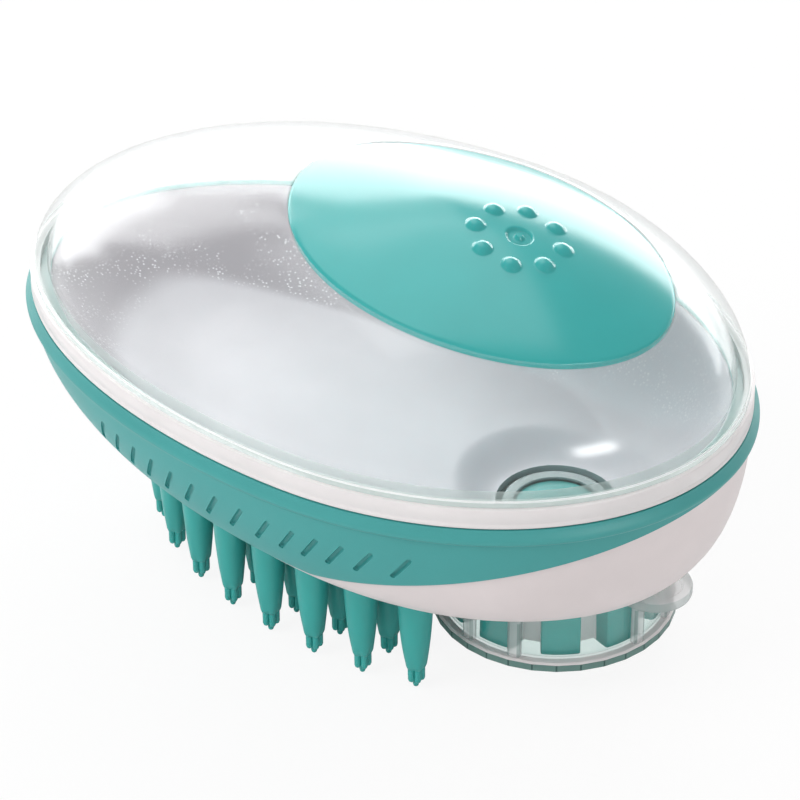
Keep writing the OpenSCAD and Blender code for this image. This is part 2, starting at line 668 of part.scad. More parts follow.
// Clear screw cap: cup with ribs, flange and tab, and a threaded hollow stem
module fill_cap() {
    top_z = cap_z + cap_h;
    inner_r = cap_r - cap_t;
    stem_foot = cap_z + cap_floor_t - 0.4;
    color(clear) translate([cap_mid, 0, 0]) difference() {
        union() {
            translate([0, 0, cap_z]) cylinder(r = cap_r, h = cap_h);
            translate([0, 0, cap_z]) cylinder(r = flange_r - 0.4, h = flange_h);
            translate([0, 0, cap_z + 0.4]) cylinder(r = flange_r, h = flange_h - 0.8);
            for (i = [0 : 2 : rib_count - 2]) for (turn = [-rib_turn, rib_turn])
                rotate([0, 0, i * 360 / rib_count + turn]) translate([cap_r - 0.5, -rib_w / 2, cap_z + 1])
                    cube([rib_out + 0.5, rib_w, cap_h - 3]);
            translate([0, 0, top_z - tab_t]) linear_extrude(height = tab_t) union() {
                translate([0, -tab_w / 2]) square([tab_reach - tab_w / 2, tab_w]);
                translate([tab_reach - tab_w / 2, 0]) circle(r = tab_w / 2);
            }
        }
        translate([0, 0, cap_z + cap_floor_t]) cylinder(r = inner_r, h = cap_h);
        translate([tab_reach - tab_w / 2 + 0.3, 0, top_z - tab_t / 2]) cylinder(r = tab_w / 2 - 1.6, h = 2);
    }
    color(clear) translate([cap_mid, 0, 0]) union() {
        difference() {
            translate([0, 0, stem_foot]) cylinder(r = stem_r, h = stem_top - stem_foot);
            translate([0, 0, cap_z + cap_floor_t]) cylinder(r = stem_r - stem_wall, h = rim_z);
        }
        thread(2.5, stem_r - 0.2, stem_r + ridge, thread_z + thread_lead, thread_lead, thread_w, true);
    }
}

lid_t = 1.2;
plug_h = 3;
plug_wall = 1.6;
plug_sink = 0.6;
stem_wall = 2;
// Soft stopper pushed into the top of the stem
module cap_stopper() {
    plug_r = stem_r - stem_wall - fit_gap / 2;
    color(teal) translate([cap_mid, 0, stem_top - plug_sink - plug_h]) difference() {
        cylinder(r = plug_r, h = plug_h);
        translate([0, 0, -lid_t]) cylinder(r = plug_r - plug_wall, h = plug_h);
    }
}

lobe_count = 10;
seal_in = neck_r + seal_gap;
seal_out = cap_r - cap_t - seal_gap;
lobe_gap = 3.6;
// Ring of upright lobes that presses on the neck's foot inside the cap
module cap_seal() {
    base_z = cap_z + cap_floor_t + 0.2;
    base_h = neck_low - base_z - 0.2;
    lobe_top = cap_z + cap_h - 0.4;
    color(teal) translate([cap_mid, 0, 0]) difference() {
        translate([0, 0, base_z]) cylinder(r = seal_out, h = lobe_top - base_z);
        translate([0, 0, base_z + base_h]) cylinder(r = seal_in, h = rim_z);
        cylinder(r = stem_r + 0.4, h = rim_z);
        for (i = [0 : lobe_count - 1]) rotate([0, 0, i * 360 / lobe_count])
            translate([seal_in - 0.2, -lobe_gap / 2, base_z + 0.4]) cube([cap_r, lobe_gap, rim_z]);
    }
}

dome_shell();
pad_rim();
pad_web();
pad_crown();
rim_ring();
dome_gasket();
reservoir_pan();
body_shell();
grip_band();
mat_plate();
bristle_mat();
bristles_outer();
bristles_second();
bristles_inner();
outlet_valves();
plate_screws();
port_neck();
neck_gasket();
fill_cap();
cap_stopper();
cap_seal();
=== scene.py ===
# %% [markdown]
# # A handheld bath sprayer
# This file dresses a palm-held bathing brush: a clear egg-shaped dome over a white pan, a soft
# teal press pad in the dome, a teal grip band, a white shell, a field of silicone bristles and a
# clear screw cap. The solid frame comes from CAD and is loaded first. Each part that shows is
# then built as a smooth surface worked out with numpy, in the same place, and gets its finish.

# %% Load the frame
import math

import bmesh
import bpy
import numpy as np
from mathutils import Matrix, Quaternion, Vector


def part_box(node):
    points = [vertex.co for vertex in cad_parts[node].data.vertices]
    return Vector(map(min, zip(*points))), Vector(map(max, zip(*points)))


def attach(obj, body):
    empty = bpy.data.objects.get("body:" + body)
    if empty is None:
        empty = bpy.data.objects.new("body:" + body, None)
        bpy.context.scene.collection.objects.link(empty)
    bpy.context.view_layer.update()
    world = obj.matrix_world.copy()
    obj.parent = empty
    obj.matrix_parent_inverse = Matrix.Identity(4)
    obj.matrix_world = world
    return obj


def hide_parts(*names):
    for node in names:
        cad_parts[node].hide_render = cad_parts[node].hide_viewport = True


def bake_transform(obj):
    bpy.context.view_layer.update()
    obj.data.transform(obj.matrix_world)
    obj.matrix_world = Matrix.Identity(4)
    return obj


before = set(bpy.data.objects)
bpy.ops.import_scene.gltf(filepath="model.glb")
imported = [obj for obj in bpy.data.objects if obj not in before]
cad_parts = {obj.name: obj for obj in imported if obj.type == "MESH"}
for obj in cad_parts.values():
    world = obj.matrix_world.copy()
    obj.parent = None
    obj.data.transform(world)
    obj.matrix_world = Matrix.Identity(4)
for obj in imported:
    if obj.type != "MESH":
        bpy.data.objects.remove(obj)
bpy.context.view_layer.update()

# %% [markdown]
# ## Sizes
# The shapes below are thought out in millimetres, and turned into metres only when a mesh is
# made. What the frame can tell, such as the length and width of the body, is read from it. The
# rest are the few curves and walls that give the brush its form.

# %% Driving sizes in millimetres
MM = 0.001


def corners(node):
    """Lowest and highest corner of a CAD node, in millimetres."""
    low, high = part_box(node)
    return np.array(low) / MM, np.array(high) / MM


ring_low, ring_high = corners("rim_ring")
body_l, body_w = (ring_high - ring_low)[:2]
fit_gap = 0.1
rim_z = ring_low[2] - fit_gap
ring_h = 3.6
widest_x = 9.6
shallow_d, deep_d = 14.0, 26.4
shell_t, band_t = 2.4, 1.2
wide_a, narrow_a, half_w = body_l / 2 - widest_x, body_l / 2 + widest_x, body_w / 2
cap_low, cap_high = corners("neck_gasket")
cap_x = (cap_low[0] + cap_high[0]) / 2
pad_low, pad_high = corners("pad_web")
pad_x = (pad_low[0] + pad_high[0]) / 2
pad_rim_w = 2.0
pad_a = (pad_high[0] - pad_low[0]) / 2 + pad_rim_w + fit_gap
pad_b = (pad_high[1] - pad_low[1]) / 2 + pad_rim_w + fit_gap
print(f"body {body_l:.1f} x {body_w:.1f} mm, rim at {rim_z:.1f} mm")
print(f"pad {2 * pad_a:.1f} x {2 * pad_b:.1f} mm, cap {cap_x:.1f} mm towards the wide end")

# %% [markdown]
# ## The egg and the surfaces built on it
# Every shell of the brush follows one outline: an egg made of two half ellipses that meet at
# the widest station. A scale s below 1 gives a smaller egg inside it, and an inset moves it
# inwards by a wall's thickness. The lower shell and the dome are heights over that egg.

# %% Egg, shell and dome as functions
TURN = 2 * math.pi
slope_power, hull_power = 1.25, 12
lip_h, dome_h, dome_t = 1.2, 25.9, 2.0
lip_inset, dome_inset = 0.55, 0.85
dome_round, dome_full = 1.65, 1.8
lip_z = rim_z + ring_h + lip_h


def egg(t, s=1.0, inset=0.0):
    """Point of the egg at angle t: x and y run along two half ellipses, scaled by s."""
    half_len = np.where(np.cos(t) < 0, narrow_a, wide_a)
    return widest_x + s * (half_len - inset) * np.cos(t), s * (half_w - inset) * np.sin(t)


def egg_scale(x, y, inset=0.0):
    """Scale of the egg that passes through a point: its distance as a share of the outline's."""
    half_len = np.where(x < widest_x, narrow_a, wide_a) - inset
    return np.hypot((x - widest_x) / half_len, y / (half_w - inset))


def depth_at(x):
    """Depth of the lower shell below the rim: it grows with a power of the way to the wide end."""
    way = np.clip(x / body_l + 0.5, 0, 1)
    return shallow_d + (deep_d - shallow_d) * way**slope_power


def hull_z(x, s, inset=0.0):
    """Height of the lower shell: a boxy section, full depth in the middle, rising at the edge."""
    return rim_z - (depth_at(x) - inset) * np.sqrt(np.maximum(0, 1 - s**hull_power))


def share_scale(share):
    """Scale of the egg at which the shell has fallen by this share of its depth."""
    return (1 - share**2) ** (1 / hull_power)


def dome_z(x, y, down=0.0):
    """Height of the dome: a rounded bowl over the egg, lowered and drawn in by down."""
    r = np.minimum(1, egg_scale(x, y, dome_inset + down))
    return lip_z + (dome_h - down) * (1 - r**dome_round) ** (1 / dome_full)


def oval(t, grow=0.0):
    """Point of the press pad's outline at angle t, grown outwards."""
    return pad_x + (pad_a + grow) * np.cos(t), (pad_b + grow) * np.sin(t)


# %% [markdown]
# ## Making meshes from grids
# A part is a grid of points: rows follow a section, and the points of a row go once round the
# egg. The helpers join neighbouring points with four-sided faces. A closed section joins its
# last row to its first, and an open one is closed by a pole at either end.

# %% Mesh helpers


def make_mesh(name, points, faces, smooth_angle=40):
    """Object from points in millimetres and a list of face arrays, shaded smooth up to an angle."""
    mesh = bpy.data.meshes.new(name)
    every_face = [face for block in faces for face in block.tolist()]
    mesh.from_pydata(np.asarray(points, float) * MM, [], every_face)
    mesh.update()
    mesh.polygons.foreach_set("use_smooth", np.ones(len(mesh.polygons), bool))
    mesh.set_sharp_from_angle(angle=math.radians(smooth_angle))
    piece = bpy.data.objects.new(name, mesh)
    bpy.context.scene.collection.objects.link(piece)
    return piece


def grid_faces(m, n, closed=False):
    """Four-sided faces of m rows of n points that go round. Closed joins the last row to the first."""
    rows = np.arange(m if closed else m - 1)[:, None]
    cols = np.arange(n)[None, :]
    up, right = (rows + 1) % m, (cols + 1) % n
    a, b, c, d = rows * n + cols, rows * n + right, up * n + right, up * n + cols
    return np.stack([a, b, c, d], -1).reshape(-1, 4)


def pole_faces(pole, first, n, flip=False):
    """Triangles from a pole to a row of n points that starts at index first."""
    i = np.arange(n)
    a, b = first + i, first + (i + 1) % n
    return np.stack([np.full(n, pole), b, a] if flip else [np.full(n, pole), a, b], -1)


def ring_piece(name, rows, smooth_angle):
    """A tube that closes on itself: rows is an array (m, n, 3) of a closed section."""
    m, n, _ = rows.shape
    return make_mesh(name, rows.reshape(-1, 3), [grid_faces(m, n, closed=True)], smooth_angle)


def capped(name, rows, first, last, smooth_angle=40, flip=False):
    """A surface of rows, closed by one pole before its first row and one after its last."""
    m, n, _ = np.shape(rows)
    points = np.concatenate([np.reshape(rows, (-1, 3)), [first, last]])
    grid = grid_faces(m, n)[:, ::-1] if flip else grid_faces(m, n)
    faces = [grid, pole_faces(m * n, 0, n, not flip), pole_faces(m * n + 1, (m - 1) * n, n, flip)]
    return make_mesh(name, points, faces, smooth_angle)


def places_of(elements, field):
    """Places of a mesh's corners or of its faces' centres in millimetres, one row for each."""
    flat = np.empty(len(elements) * 3)
    elements.foreach_get(field, flat)
    return flat.reshape(-1, 3) / MM


def stacked(x, y, z):
    """Rows of points from three arrays that broadcast together."""
    x, y, z = np.broadcast_arrays(x, y, z)
    return np.stack([x, y, z], -1)


def turns(n):
    """Angles of n points at equal steps once round."""
    return np.arange(n) * TURN / n


round_egg = turns(192)


def egg_rows(section):
    """Rows of an upright ring whose section is a list of (inset, height)."""
    section = np.array(section, float)
    x, y = egg(round_egg[None, :], 1.0, section[:, :1])
    return stacked(x, y, section[:, 1:2])


def arc(cx, cz, r, start, stop, steps=6):
    """Points of a circular arc in a section, from one angle in degrees to another."""
    a = np.radians(np.linspace(start, stop, steps))
    return list(zip(cx + r * np.cos(a), cz + r * np.sin(a)))


# %% [markdown]
# ## Finishes
# A moulded or soft finish is a Principled shader whose numbers sit on its own sockets, with a
# fine bump for the skin. The dome is a thin clear wall that is a mirror only where it is seen at
# a slant. Thick clear edges hold so many small mirrorings that they are made milky, and the wall
# of the cap is true glass. All the clear finishes but the milky ones let lamplight straight
# through, because real clear plastic hardly shades what it covers.

# %% Material helpers
MOTTLE = 0.03


def linear(*rgb):
    """Colour from 0 to 255 on screen, as the linear light that shaders work in."""
    c = np.array(rgb, float) / 255
    low = c <= 0.04045
    c = np.where(low, c / 12.92, ((c + 0.055) / 1.055) ** 2.4)
    return (*c.tolist(), 1.0)


def new_material(name):
    """Material with an empty node tree."""
    mat = bpy.data.materials.new(name)
    mat.use_nodes = True
    mat.node_tree.nodes.clear()
    return mat


def add(owner, kind, operation=None, **values):
    """New shader node with its operation and constant inputs, whose names have _ for a space."""
    node = owner.node_tree.nodes.new("ShaderNode" + kind)
    if operation:
        node.operation = operation
    for name, value in values.items():
        node.inputs[name.replace("_", " ")].default_value = value
    return node


def wire(owner, *wires):
    """Links for a tree, each as a node, its output, the next node and that node's input."""
    for source, output, target, entry in wires:
        owner.node_tree.links.new(source.outputs[output], target.inputs[entry])


def either_ray(owner, first, second):
    """Node that gives 1 for rays of either of two kinds, and 0 for the others."""
    path, either = add(owner, "LightPath"), add(owner, "Math", "MAXIMUM")
    wire(owner, (path, first, either, 0), (path, second, either, 1))
    return either


def mixed(owner, first, second, share, output="OutputMaterial"):
    """Ends a tree in a mix of two shaders. The second one's share is a node or a number."""
    mix, out = add(owner, "MixShader"), add(owner, output)
    wire(owner, (first, 0, mix, 1), (second, 0, mix, 2), (mix, 0, out, 0))
    if isinstance(share, float):
        mix.inputs[0].default_value = share
    else:
        wire(owner, (share, 0, mix, 0))


def plastic(name, colour, roughness, bump_scale, bump_depth, subsurface=0.0, glow=(1.0, 1.0, 1.0)):
    """Moulded plastic or silicone: even colour with a faint mottle, and a fine skin of bumps."""
    mat = new_material(name)
    out = add(mat, "OutputMaterial")
    shader = add(mat, "BsdfPrincipled", Roughness=roughness, Subsurface_Weight=subsurface,
                 Subsurface_Radius=glow, Subsurface_Scale=0.002)
    where = add(mat, "TexCoord")
    cloud = add(mat, "TexNoise", Scale=90, Detail=3)
    ramp = add(mat, "ValToRGB")
    c = np.array(colour[:3])
    for stop, place, shade in zip(ramp.color_ramp.elements, (0.3, 0.7), (1 - MOTTLE, 1 + MOTTLE)):
        stop.position = place
        stop.color = (*np.minimum(1, c * shade), 1)
    skin = add(mat, "TexNoise", Scale=bump_scale, Detail=2)
    bump = add(mat, "Bump", Strength=bump_depth, Distance=0.0002)
    wire(mat, (where, "Object", cloud, "Vector"), (cloud, "Fac", ramp, "Fac"),
         (ramp, "Color", shader, "Base Color"), (where, "Object", skin, "Vector"),
         (skin, "Fac", bump, "Height"), (bump, "Normal", shader, "Normal"), (shader, 0, out, 0))
    return mat


def clear_plastic(name, tint, ior):
    """Glass for sight and mirror rays, and open for the rays that carry light to what it covers."""
    mat = new_material(name)
    glass = add(mat, "BsdfPrincipled", Base_Color=tint, Roughness=0.0, IOR=ior,
                Transmission_Weight=1.0)
    mixed(mat, glass, add(mat, "BsdfTransparent"), either_ray(mat, "Is Shadow Ray", "Is Diffuse Ray"))
    return mat


def thin_clear(name, tint, head_on=0.04, roughness=0.16):
    """Thin clear wall: see-through, with a mirror that grows from head on to the slant (Schlick's
    rule). Rays that carry light to what it covers pass untouched."""
    mat = new_material(name)
    clear = add(mat, "BsdfTransparent", Color=tint)
    mirror = add(mat, "BsdfGlossy", Roughness=roughness)
    slant = add(mat, "LayerWeight", Blend=0.5)
    power = add(mat, "Math", "POWER")
    power.inputs[1].default_value = 5
    share = add(mat, "Math", "MULTIPLY_ADD")
    share.inputs[1].default_value = 1 - head_on
    share.inputs[2].default_value = head_on
    carried = either_ray(mat, "Is Shadow Ray", "Is Diffuse Ray")
    shown = add(mat, "Math", "SUBTRACT")
    shown.use_clamp = True
    wire(mat, (slant, "Facing", power, 0), (power, 0, share, 0), (share, 0, shown, 0),
         (carried, 0, shown, 1))
    mixed(mat, clear, mirror, shown)
    return mat


def milky_clear(name, colour, cover):
    """Clear plastic whose many small mirrorings read as a pale, half see-through body."""
    mat = new_material(name)
    body = add(mat, "BsdfPrincipled", Base_Color=colour, Roughness=0.12)
    mixed(mat, add(mat, "BsdfTransparent"), body, cover)
    return mat


def misted_shaded_pan(name, floor_colour, wall_mist_shade_colour, painted_light_side_colour):
    """The pan's white: plain on the floor. On the wall, a grey that is partly a mist of fine drops and
    partly painted shade, paling towards one side as painted light, with bright flecks that are
    painted glints of the drops. The mesh carries both shares as attributes: how far a point is on
    the wall, and how far it lies towards the painted light."""
    mat = plastic(name, floor_colour, 0.5, 2500, 0.05)
    shader = mat.node_tree.nodes["Principled BSDF"]
    plain = shader.inputs["Base Color"].links[0].from_node
    wall, painted_light_side = add(mat, "Attribute"), add(mat, "Attribute")
    wall.attribute_name, painted_light_side.attribute_name = "wall", "painted_light_side"
    where = add(mat, "TexCoord")
    drops = add(mat, "TexVoronoi", Scale=1500)
    dot = add(mat, "MapRange", From_Min=0.12, From_Max=0.34, To_Min=1.0, To_Max=0.0)
    patch = add(mat, "TexNoise", Scale=160, Detail=4)
    dense = add(mat, "MapRange", From_Min=0.42, From_Max=0.6)
    spray = add(mat, "Math", "MULTIPLY")
    # The wall's grey, partly mist and partly painted shade, pales towards one side as painted light.
    mist_shade_tone = add(mat, "MixRGB", Color1=wall_mist_shade_colour, Color2=painted_light_side_colour)
    # Near-white flecks on the drops: painted glints.
    drop_glint = add(mat, "MixRGB", Color2=linear(250, 248, 250))
    both = add(mat, "MixRGB")
    wire(mat, (where, "Object", drops, "Vector"), (where, "Object", patch, "Vector"),
         (drops, "Distance", dot, "Value"), (patch, "Fac", dense, "Value"), (dot, 0, spray, 0),
         (dense, 0, spray, 1), (painted_light_side, "Fac", mist_shade_tone, "Fac"), (mist_shade_tone, 0, drop_glint, "Color1"),
         (spray, 0, drop_glint, "Fac"), (plain, "Color", both, "Color1"), (drop_glint, 0, both, "Color2"),
         (wall, "Fac", both, "Fac"), (both, 0, shader, "Base Color"))
    return mat


def dress(piece, mat, body="root", stands_for=()):
    """Gives a new piece its finish, its body and the nodes that it replaces."""
    piece.data.materials.clear()
    piece.data.materials.append(mat)
    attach(piece, body)
    if stands_for:
        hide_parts(*stands_for)
    return piece


def finish_faces(piece, more, choose):
    """Adds finishes to a piece. A rule on each face's centre in millimetres picks its number."""
    for mat in more:
        piece.data.materials.append(mat)
    picked = choose(*places_of(piece.data.polygons, "center").T)
    piece.data.polygons.foreach_set("material_index", picked.astype(np.int32))


# %% The finishes of this brush
teal_gloss = plastic("pad_silicone", linear(54, 172, 170), 0.19, 2500, 0.02, subsurface=0.1,
                     glow=(0.2, 1.0, 0.9))
teal_soft = plastic("bristle_silicone", linear(56, 172, 166), 0.36, 3000, 0.1, subsurface=0.15,
                    glow=(0.2, 1.0, 0.9))
teal_band = plastic("band_elastomer", linear(66, 160, 158), 0.42, 3500, 0.12)
white_shell = plastic("shell_white", linear(232, 222, 222), 0.38, 3500, 0.08)
white_ring = plastic("ring_white", linear(238, 233, 233), 0.3, 3000, 0.05)
white_part = plastic("inner_white", linear(226, 224, 228), 0.4, 2500, 0.05)
# Pan: white floor, a wall grey of mist and painted shade, and painted light that pales it towards one
# side.
white_pan = misted_shaded_pan("pan_white", linear(224, 219, 224), linear(178, 171, 177),
                       linear(230, 229, 234))
clear_dome = thin_clear("dome_clear", linear(253, 254, 254))
clear_lip = milky_clear("lip_clear", linear(230, 242, 239), 0.5)
# Painted highlight: a near-white band along the lip's rounded outer edge.
lip_painted_highlight = milky_clear("lip_edge_painted_highlight", linear(252, 254, 254), 0.9)
clear_cap = thin_clear("cap_clear", linear(246, 251, 250), 0.06, 0.05)
cap_wall = clear_plastic("cap_wall", linear(240, 249, 247), 1.47)
rib_clear = milky_clear("rib_clear", linear(246, 248, 248), 0.34)
# Flange: a painted reflection on its top, its side painted with the teal seen through it, and painted
# dark lines at its corners where the clear plastic bends the light.
flange_top = milky_clear("flange_top", linear(250, 245, 245), 0.85)
flange_side = milky_clear("flange_side", linear(106, 144, 137), 0.92)
flange_edge = milky_clear("flange_edge", linear(66, 100, 95), 0.92)
# Painted dark lines on the clear edges of ribs and tab, where the plastic bends the light.
rib_edge = milky_clear("rib_edge", linear(150, 166, 164), 0.6)
tab_edge = milky_clear("tab_edge", linear(176, 190, 188), 0.55)
# Painted shade: dark grey-teal on the stem's top end, seen down the port.
stem_end_painted_shade = milky_clear("stem_end_painted_shade", linear(104, 136, 136), 0.85)
# Painted light: a white brighter than the other whites, on the seal's inner face seen in the gaps between
# the lobes.
gap_white_painted_light = plastic("gap_white_painted_light", linear(252, 246, 247), 0.4, 2500, 0.05)
# Painted shade: grey-teal for the shadowed hole round the filler's port and the neck's top end.
port_shade = plastic("port_shade", linear(146, 170, 170), 0.5, 2500, 0.05)
print(len(bpy.data.materials), "finishes")

# %% [markdown]
# ## The dome
# The dome is one clear moulding. A skirt drops inside the white ring, a lip rests on the ring,
# and the shell rises from the lip to the oval opening, where a ledge carries the pad. The rows of
# its grid go up the outside, down over the ledge, and back along the inside. The shell is thin
# for its size, so light crosses it nearly straight, and it is only a mirror where it is seen at
# a slant. The thick lip and skirt are milky, and the lip's rounded outer edge carries a painted
# highlight: a near-white band.

# %% Dome
skirt_in, ring_foot = 3.4, 1.6
skirt_z = rim_z + 2.2
opening_gap, pad_drop, pad_rim_t = 0.1, 0.2, 0.9
ledge_w, ledge_drop = pad_rim_w - 0.3, pad_drop + pad_rim_t + fit_gap
DOME_ROWS = 72


def dome_rows(way, down, grow):
    """Rows on the dome: each point moves from the rim of the egg to the pad's oval by a share way."""
    x0, y0 = egg(round_egg[None, :], 1.0, dome_inset + down)
    x1, y1 = oval(round_egg[None, :], grow)
    way = np.asarray(way)[:, None]
    x, y = x0 + (x1 - x0) * way, y0 + (y1 - y0) * way
    return stacked(x, y, dome_z(x, y, down))


def oval_row(grow, drop):
    """One row that follows the pad's oval, grown outwards and dropped below the dome's surface."""
    x, y = oval(round_egg[None, :], grow)
    return stacked(x, y, dome_z(x, y) - drop)


def build_dome():
    """Rows: skirt, underside of the lip, rounded lip, outside, ledge, inside, skirt. The dome's rows
    lie closer near the rim, where it is steep."""
    seat_z = rim_z + ring_h + fit_gap
    lip = egg_rows(
        [(ring_foot + fit_gap, skirt_z), (ring_foot + fit_gap, seat_z), (lip_inset, seat_z)]
        + arc(lip_inset + 0.25, lip_z - 0.25, 0.25, 180, 90, 5)
    )
    eased = np.linspace(0, 1, DOME_ROWS) ** 2.0
    outside = dome_rows(eased, 0.0, opening_gap + 0.15)
    ledge = [oval_row(opening_gap + 0.04, 0.03), oval_row(opening_gap, 0.15),
             oval_row(opening_gap, ledge_drop), oval_row(-ledge_w, ledge_drop)]
    inside = dome_rows(eased[::-1], dome_t, -ledge_w)
    skirt = egg_rows([(skirt_in, skirt_z)])
    return ring_piece("dome", np.concatenate([lip, outside, *ledge, inside, skirt]), 50)


dome = dress(build_dome(), clear_dome, stands_for=["dome_shell"])
# Faces on the lip's rounded outer edge get the painted highlight.
finish_faces(dome, (clear_lip, lip_painted_highlight), lambda x, y, z: np.where(
    z > lip_z + 0.3, 0, np.where((z > lip_z - 0.22) & (egg_scale(x, y, lip_inset + 0.28) > 1), 2, 1)))
print("dome:", len(dome.data.polygons), "faces")

# %% [markdown]
# ## White ring
# The ring between dome and grip is a plain band with rounded edges and a fine parting groove.

# %% Ring
ring = dress(
    ring_piece("white_ring", egg_rows(
        [(ring_foot, rim_z + fit_gap), (0.35, rim_z + fit_gap)]
        + arc(0.3, rim_z + fit_gap + 0.3, 0.3, 270, 180, 5)
        + [(0, rim_z + 0.85), (0.1, rim_z + 0.98), (0.1, rim_z + 1.08), (0.02, rim_z + 1.25)]
        + arc(0.25, rim_z + ring_h - 0.25, 0.25, 180, 90, 4)
        + [(ring_foot, rim_z + ring_h)]), 60),
    white_ring, stands_for=["rim_ring"])
print("ring:", len(ring.data.polygons), "faces")

# %% [markdown]
# ## The press pad
# The pad is one silicone moulding: a rim bonded on the dome's ledge, a thin web, and a stiffer
# crown that a palm pushes down. The crown carries a ring of small domes round a dimple.
# In the CAD frame it is three nodes, so that the crown can travel. Here it is one surface. Its
# grid is made of circles round the dimple, which turn into the pad's oval further out.

# %% Press pad: the surface
web_t, web_w, crown_t = 1.2, 4.8, 2.4
web_out = -pad_rim_w - fit_gap
web_in = web_out - web_w
ring_x, ring_r, bump_count = pad_x + 7, 6.8, 8
bump_d, bump_ball = 3.2, 1.9
dimple_r, dimple_h, nub_r = 2.1, 0.5, 0.75
fine_rings, fine_step = 67, 0.15


def soft_step(x, low, high):
    """Smooth step: 0 below low, 1 above high, and a cubic between them."""
    u = np.clip((x - low) / (high - low), 0, 1)
    return u * u * (3 - 2 * u)


def pad_relief(x, y):
    """Height of the pad's details: domes cut from a ball, and a dimple with a nub in its middle."""
    height = np.zeros(np.broadcast(x, y).shape)
    for i in range(bump_count):
        a = (i + 0.5) * TURN / bump_count
        d = np.hypot(x - ring_x - ring_r * math.cos(a), y - ring_r * math.sin(a))
        cap = np.sqrt(np.maximum(0, bump_ball**2 - d**2)) - math.sqrt(bump_ball**2 - bump_d**2 / 4)
        height = np.maximum(height, 0.5 * (cap + np.sqrt(cap**2 + 0.0025)) - 0.015)
    d = np.hypot(x - ring_x, y)
    bowl = 1 - soft_step(d, dimple_r - 0.35, dimple_r + 0.1)
    nub = 1 - soft_step(d, nub_r - 0.3, nub_r + 0.1)
    return np.maximum(height, 0) - dimple_h * bowl + (dimple_h + 0.1) * nub


def pad_rows():
    """Rows of the pad from the dimple outwards over the top, round the rim and back underneath."""
    t = turns(320)[None, :]
    inner = (np.arange(1, fine_rings + 1) * fine_step)[:, None]
    x, y = ring_x + inner * np.cos(t), inner * np.sin(t)
    rows = [stacked(x, y, dome_z(x, y) - pad_drop + pad_relief(x, y))]
    last = inner[-1, 0]
    x0, y0 = ring_x + last * np.cos(t), last * np.sin(t)
    x1, y1 = oval(t, -0.7)
    way = np.linspace(0, 1, 49)[1:, None]
    x, y = x0 + (x1 - x0) * way, y0 + (y1 - y0) * way
    rows.append(stacked(x, y, dome_z(x, y) - pad_drop))
    under = ((0.0, pad_rim_t), (-pad_rim_w, pad_rim_t), (web_out, web_t), (web_in, web_t),
             (web_in - 0.2, crown_t))
    for grow, drop in ((-0.4, 0.01), (-0.2, 0.05), (-0.08, 0.12), (-0.02, 0.22), (0.0, 0.35), *under):
        x, y = oval(t, grow)
        rows.append(stacked(x, y, dome_z(x, y) - pad_drop - drop))
    ex, ey = oval(t, web_in - 0.2)
    way = np.linspace(1, 0, 9)[1:-1, None]
    x, y = pad_x + (ex - pad_x) * way, ey * way
    rows.append(stacked(x, y, dome_z(x, y) - pad_drop - crown_t))
    return np.concatenate(rows)


# %% Press pad: the mesh
def build_pad():
    """Closed surface from the pad's rows, with a pole in the dimple and one underneath."""
    top = [ring_x, 0, float(dome_z(ring_x, 0.0)) - pad_drop + 0.1]
    under = [pad_x, 0, float(dome_z(pad_x, 0.0)) - pad_drop - crown_t]
    return capped("press_pad", pad_rows(), top, under, 45, flip=True)


pad = build_pad()
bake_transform(pad)
pad_points = places_of(pad.data.vertices, "co")
pad.data.materials.append(teal_gloss)
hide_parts("pad_rim", "pad_web", "pad_crown")
print("pad:", len(pad.data.polygons), "faces")

# %% [markdown]
# ## Lower shell
# The white shell is a boxy bowl. The grip band covers its upper wall, so the shell steps in
# behind the band. Its bottom is open for the bristle mat, for the filler and for the screws.
# The bowl is a grid, and the openings are cut from it with a Boolean.

# %% Lower shell
round_shell = turns(384)
edge_side, edge_wide, edge_start = 0.76, 0.12, 0.1
port_clear, flange_r, mat_scale, clear_r = 4.2, 19.6, 0.74, 13.45
screw_turns, screw_scale, head_r, shaft_r, head_seat = (50, 95, 140, 220, 265, 310), 0.785, 2.1, 1.35, 1.3


def edge_share(t):
    """Share of the shell's depth where the band ends: high at the sides, low round the wide end."""
    way = np.maximum(0, (np.cos(t) - edge_start) / (1 - edge_start))
    return edge_side - (edge_side - edge_wide) * way


def hull_row(t, s, inset):
    """Row of the shell's surface at scale s of the egg, moved inwards by inset."""
    x, y = egg(t, s, inset)
    return stacked(x, y, hull_z(x, s, inset))


def cut(piece, *cutters):
    """Takes the cutters out of a piece, keeps its finish and smooth shading, and removes them."""
    for cutter in cutters:
        change = piece.modifiers.new("cut", "BOOLEAN")
        change.object = cutter
        change.solver = "EXACT"
    bpy.context.view_layer.update()
    graph = bpy.context.evaluated_depsgraph_get()
    shape = bpy.data.meshes.new_from_object(piece.evaluated_get(graph))
    piece.modifiers.clear()
    piece.data = shape
    shape.polygons.foreach_set("use_smooth", np.ones(len(shape.polygons), bool))
    shape.set_sharp_from_angle(angle=math.radians(35))
    for cutter in cutters:
        bpy.data.objects.remove(cutter)


def prism(name, x, y, low_z, high_z):
    """Closed upright prism over an outline."""
    ends = [[x.mean(), y.mean(), z] for z in (low_z, high_z)]
    return capped(name, [stacked(x, y, low_z), stacked(x, y, high_z)], *ends)


def disc(x, y, r, n):
    """Outline of a circle, as n points."""
    t = turns(n)
    return x + r * np.cos(t), y + r * np.sin(t)


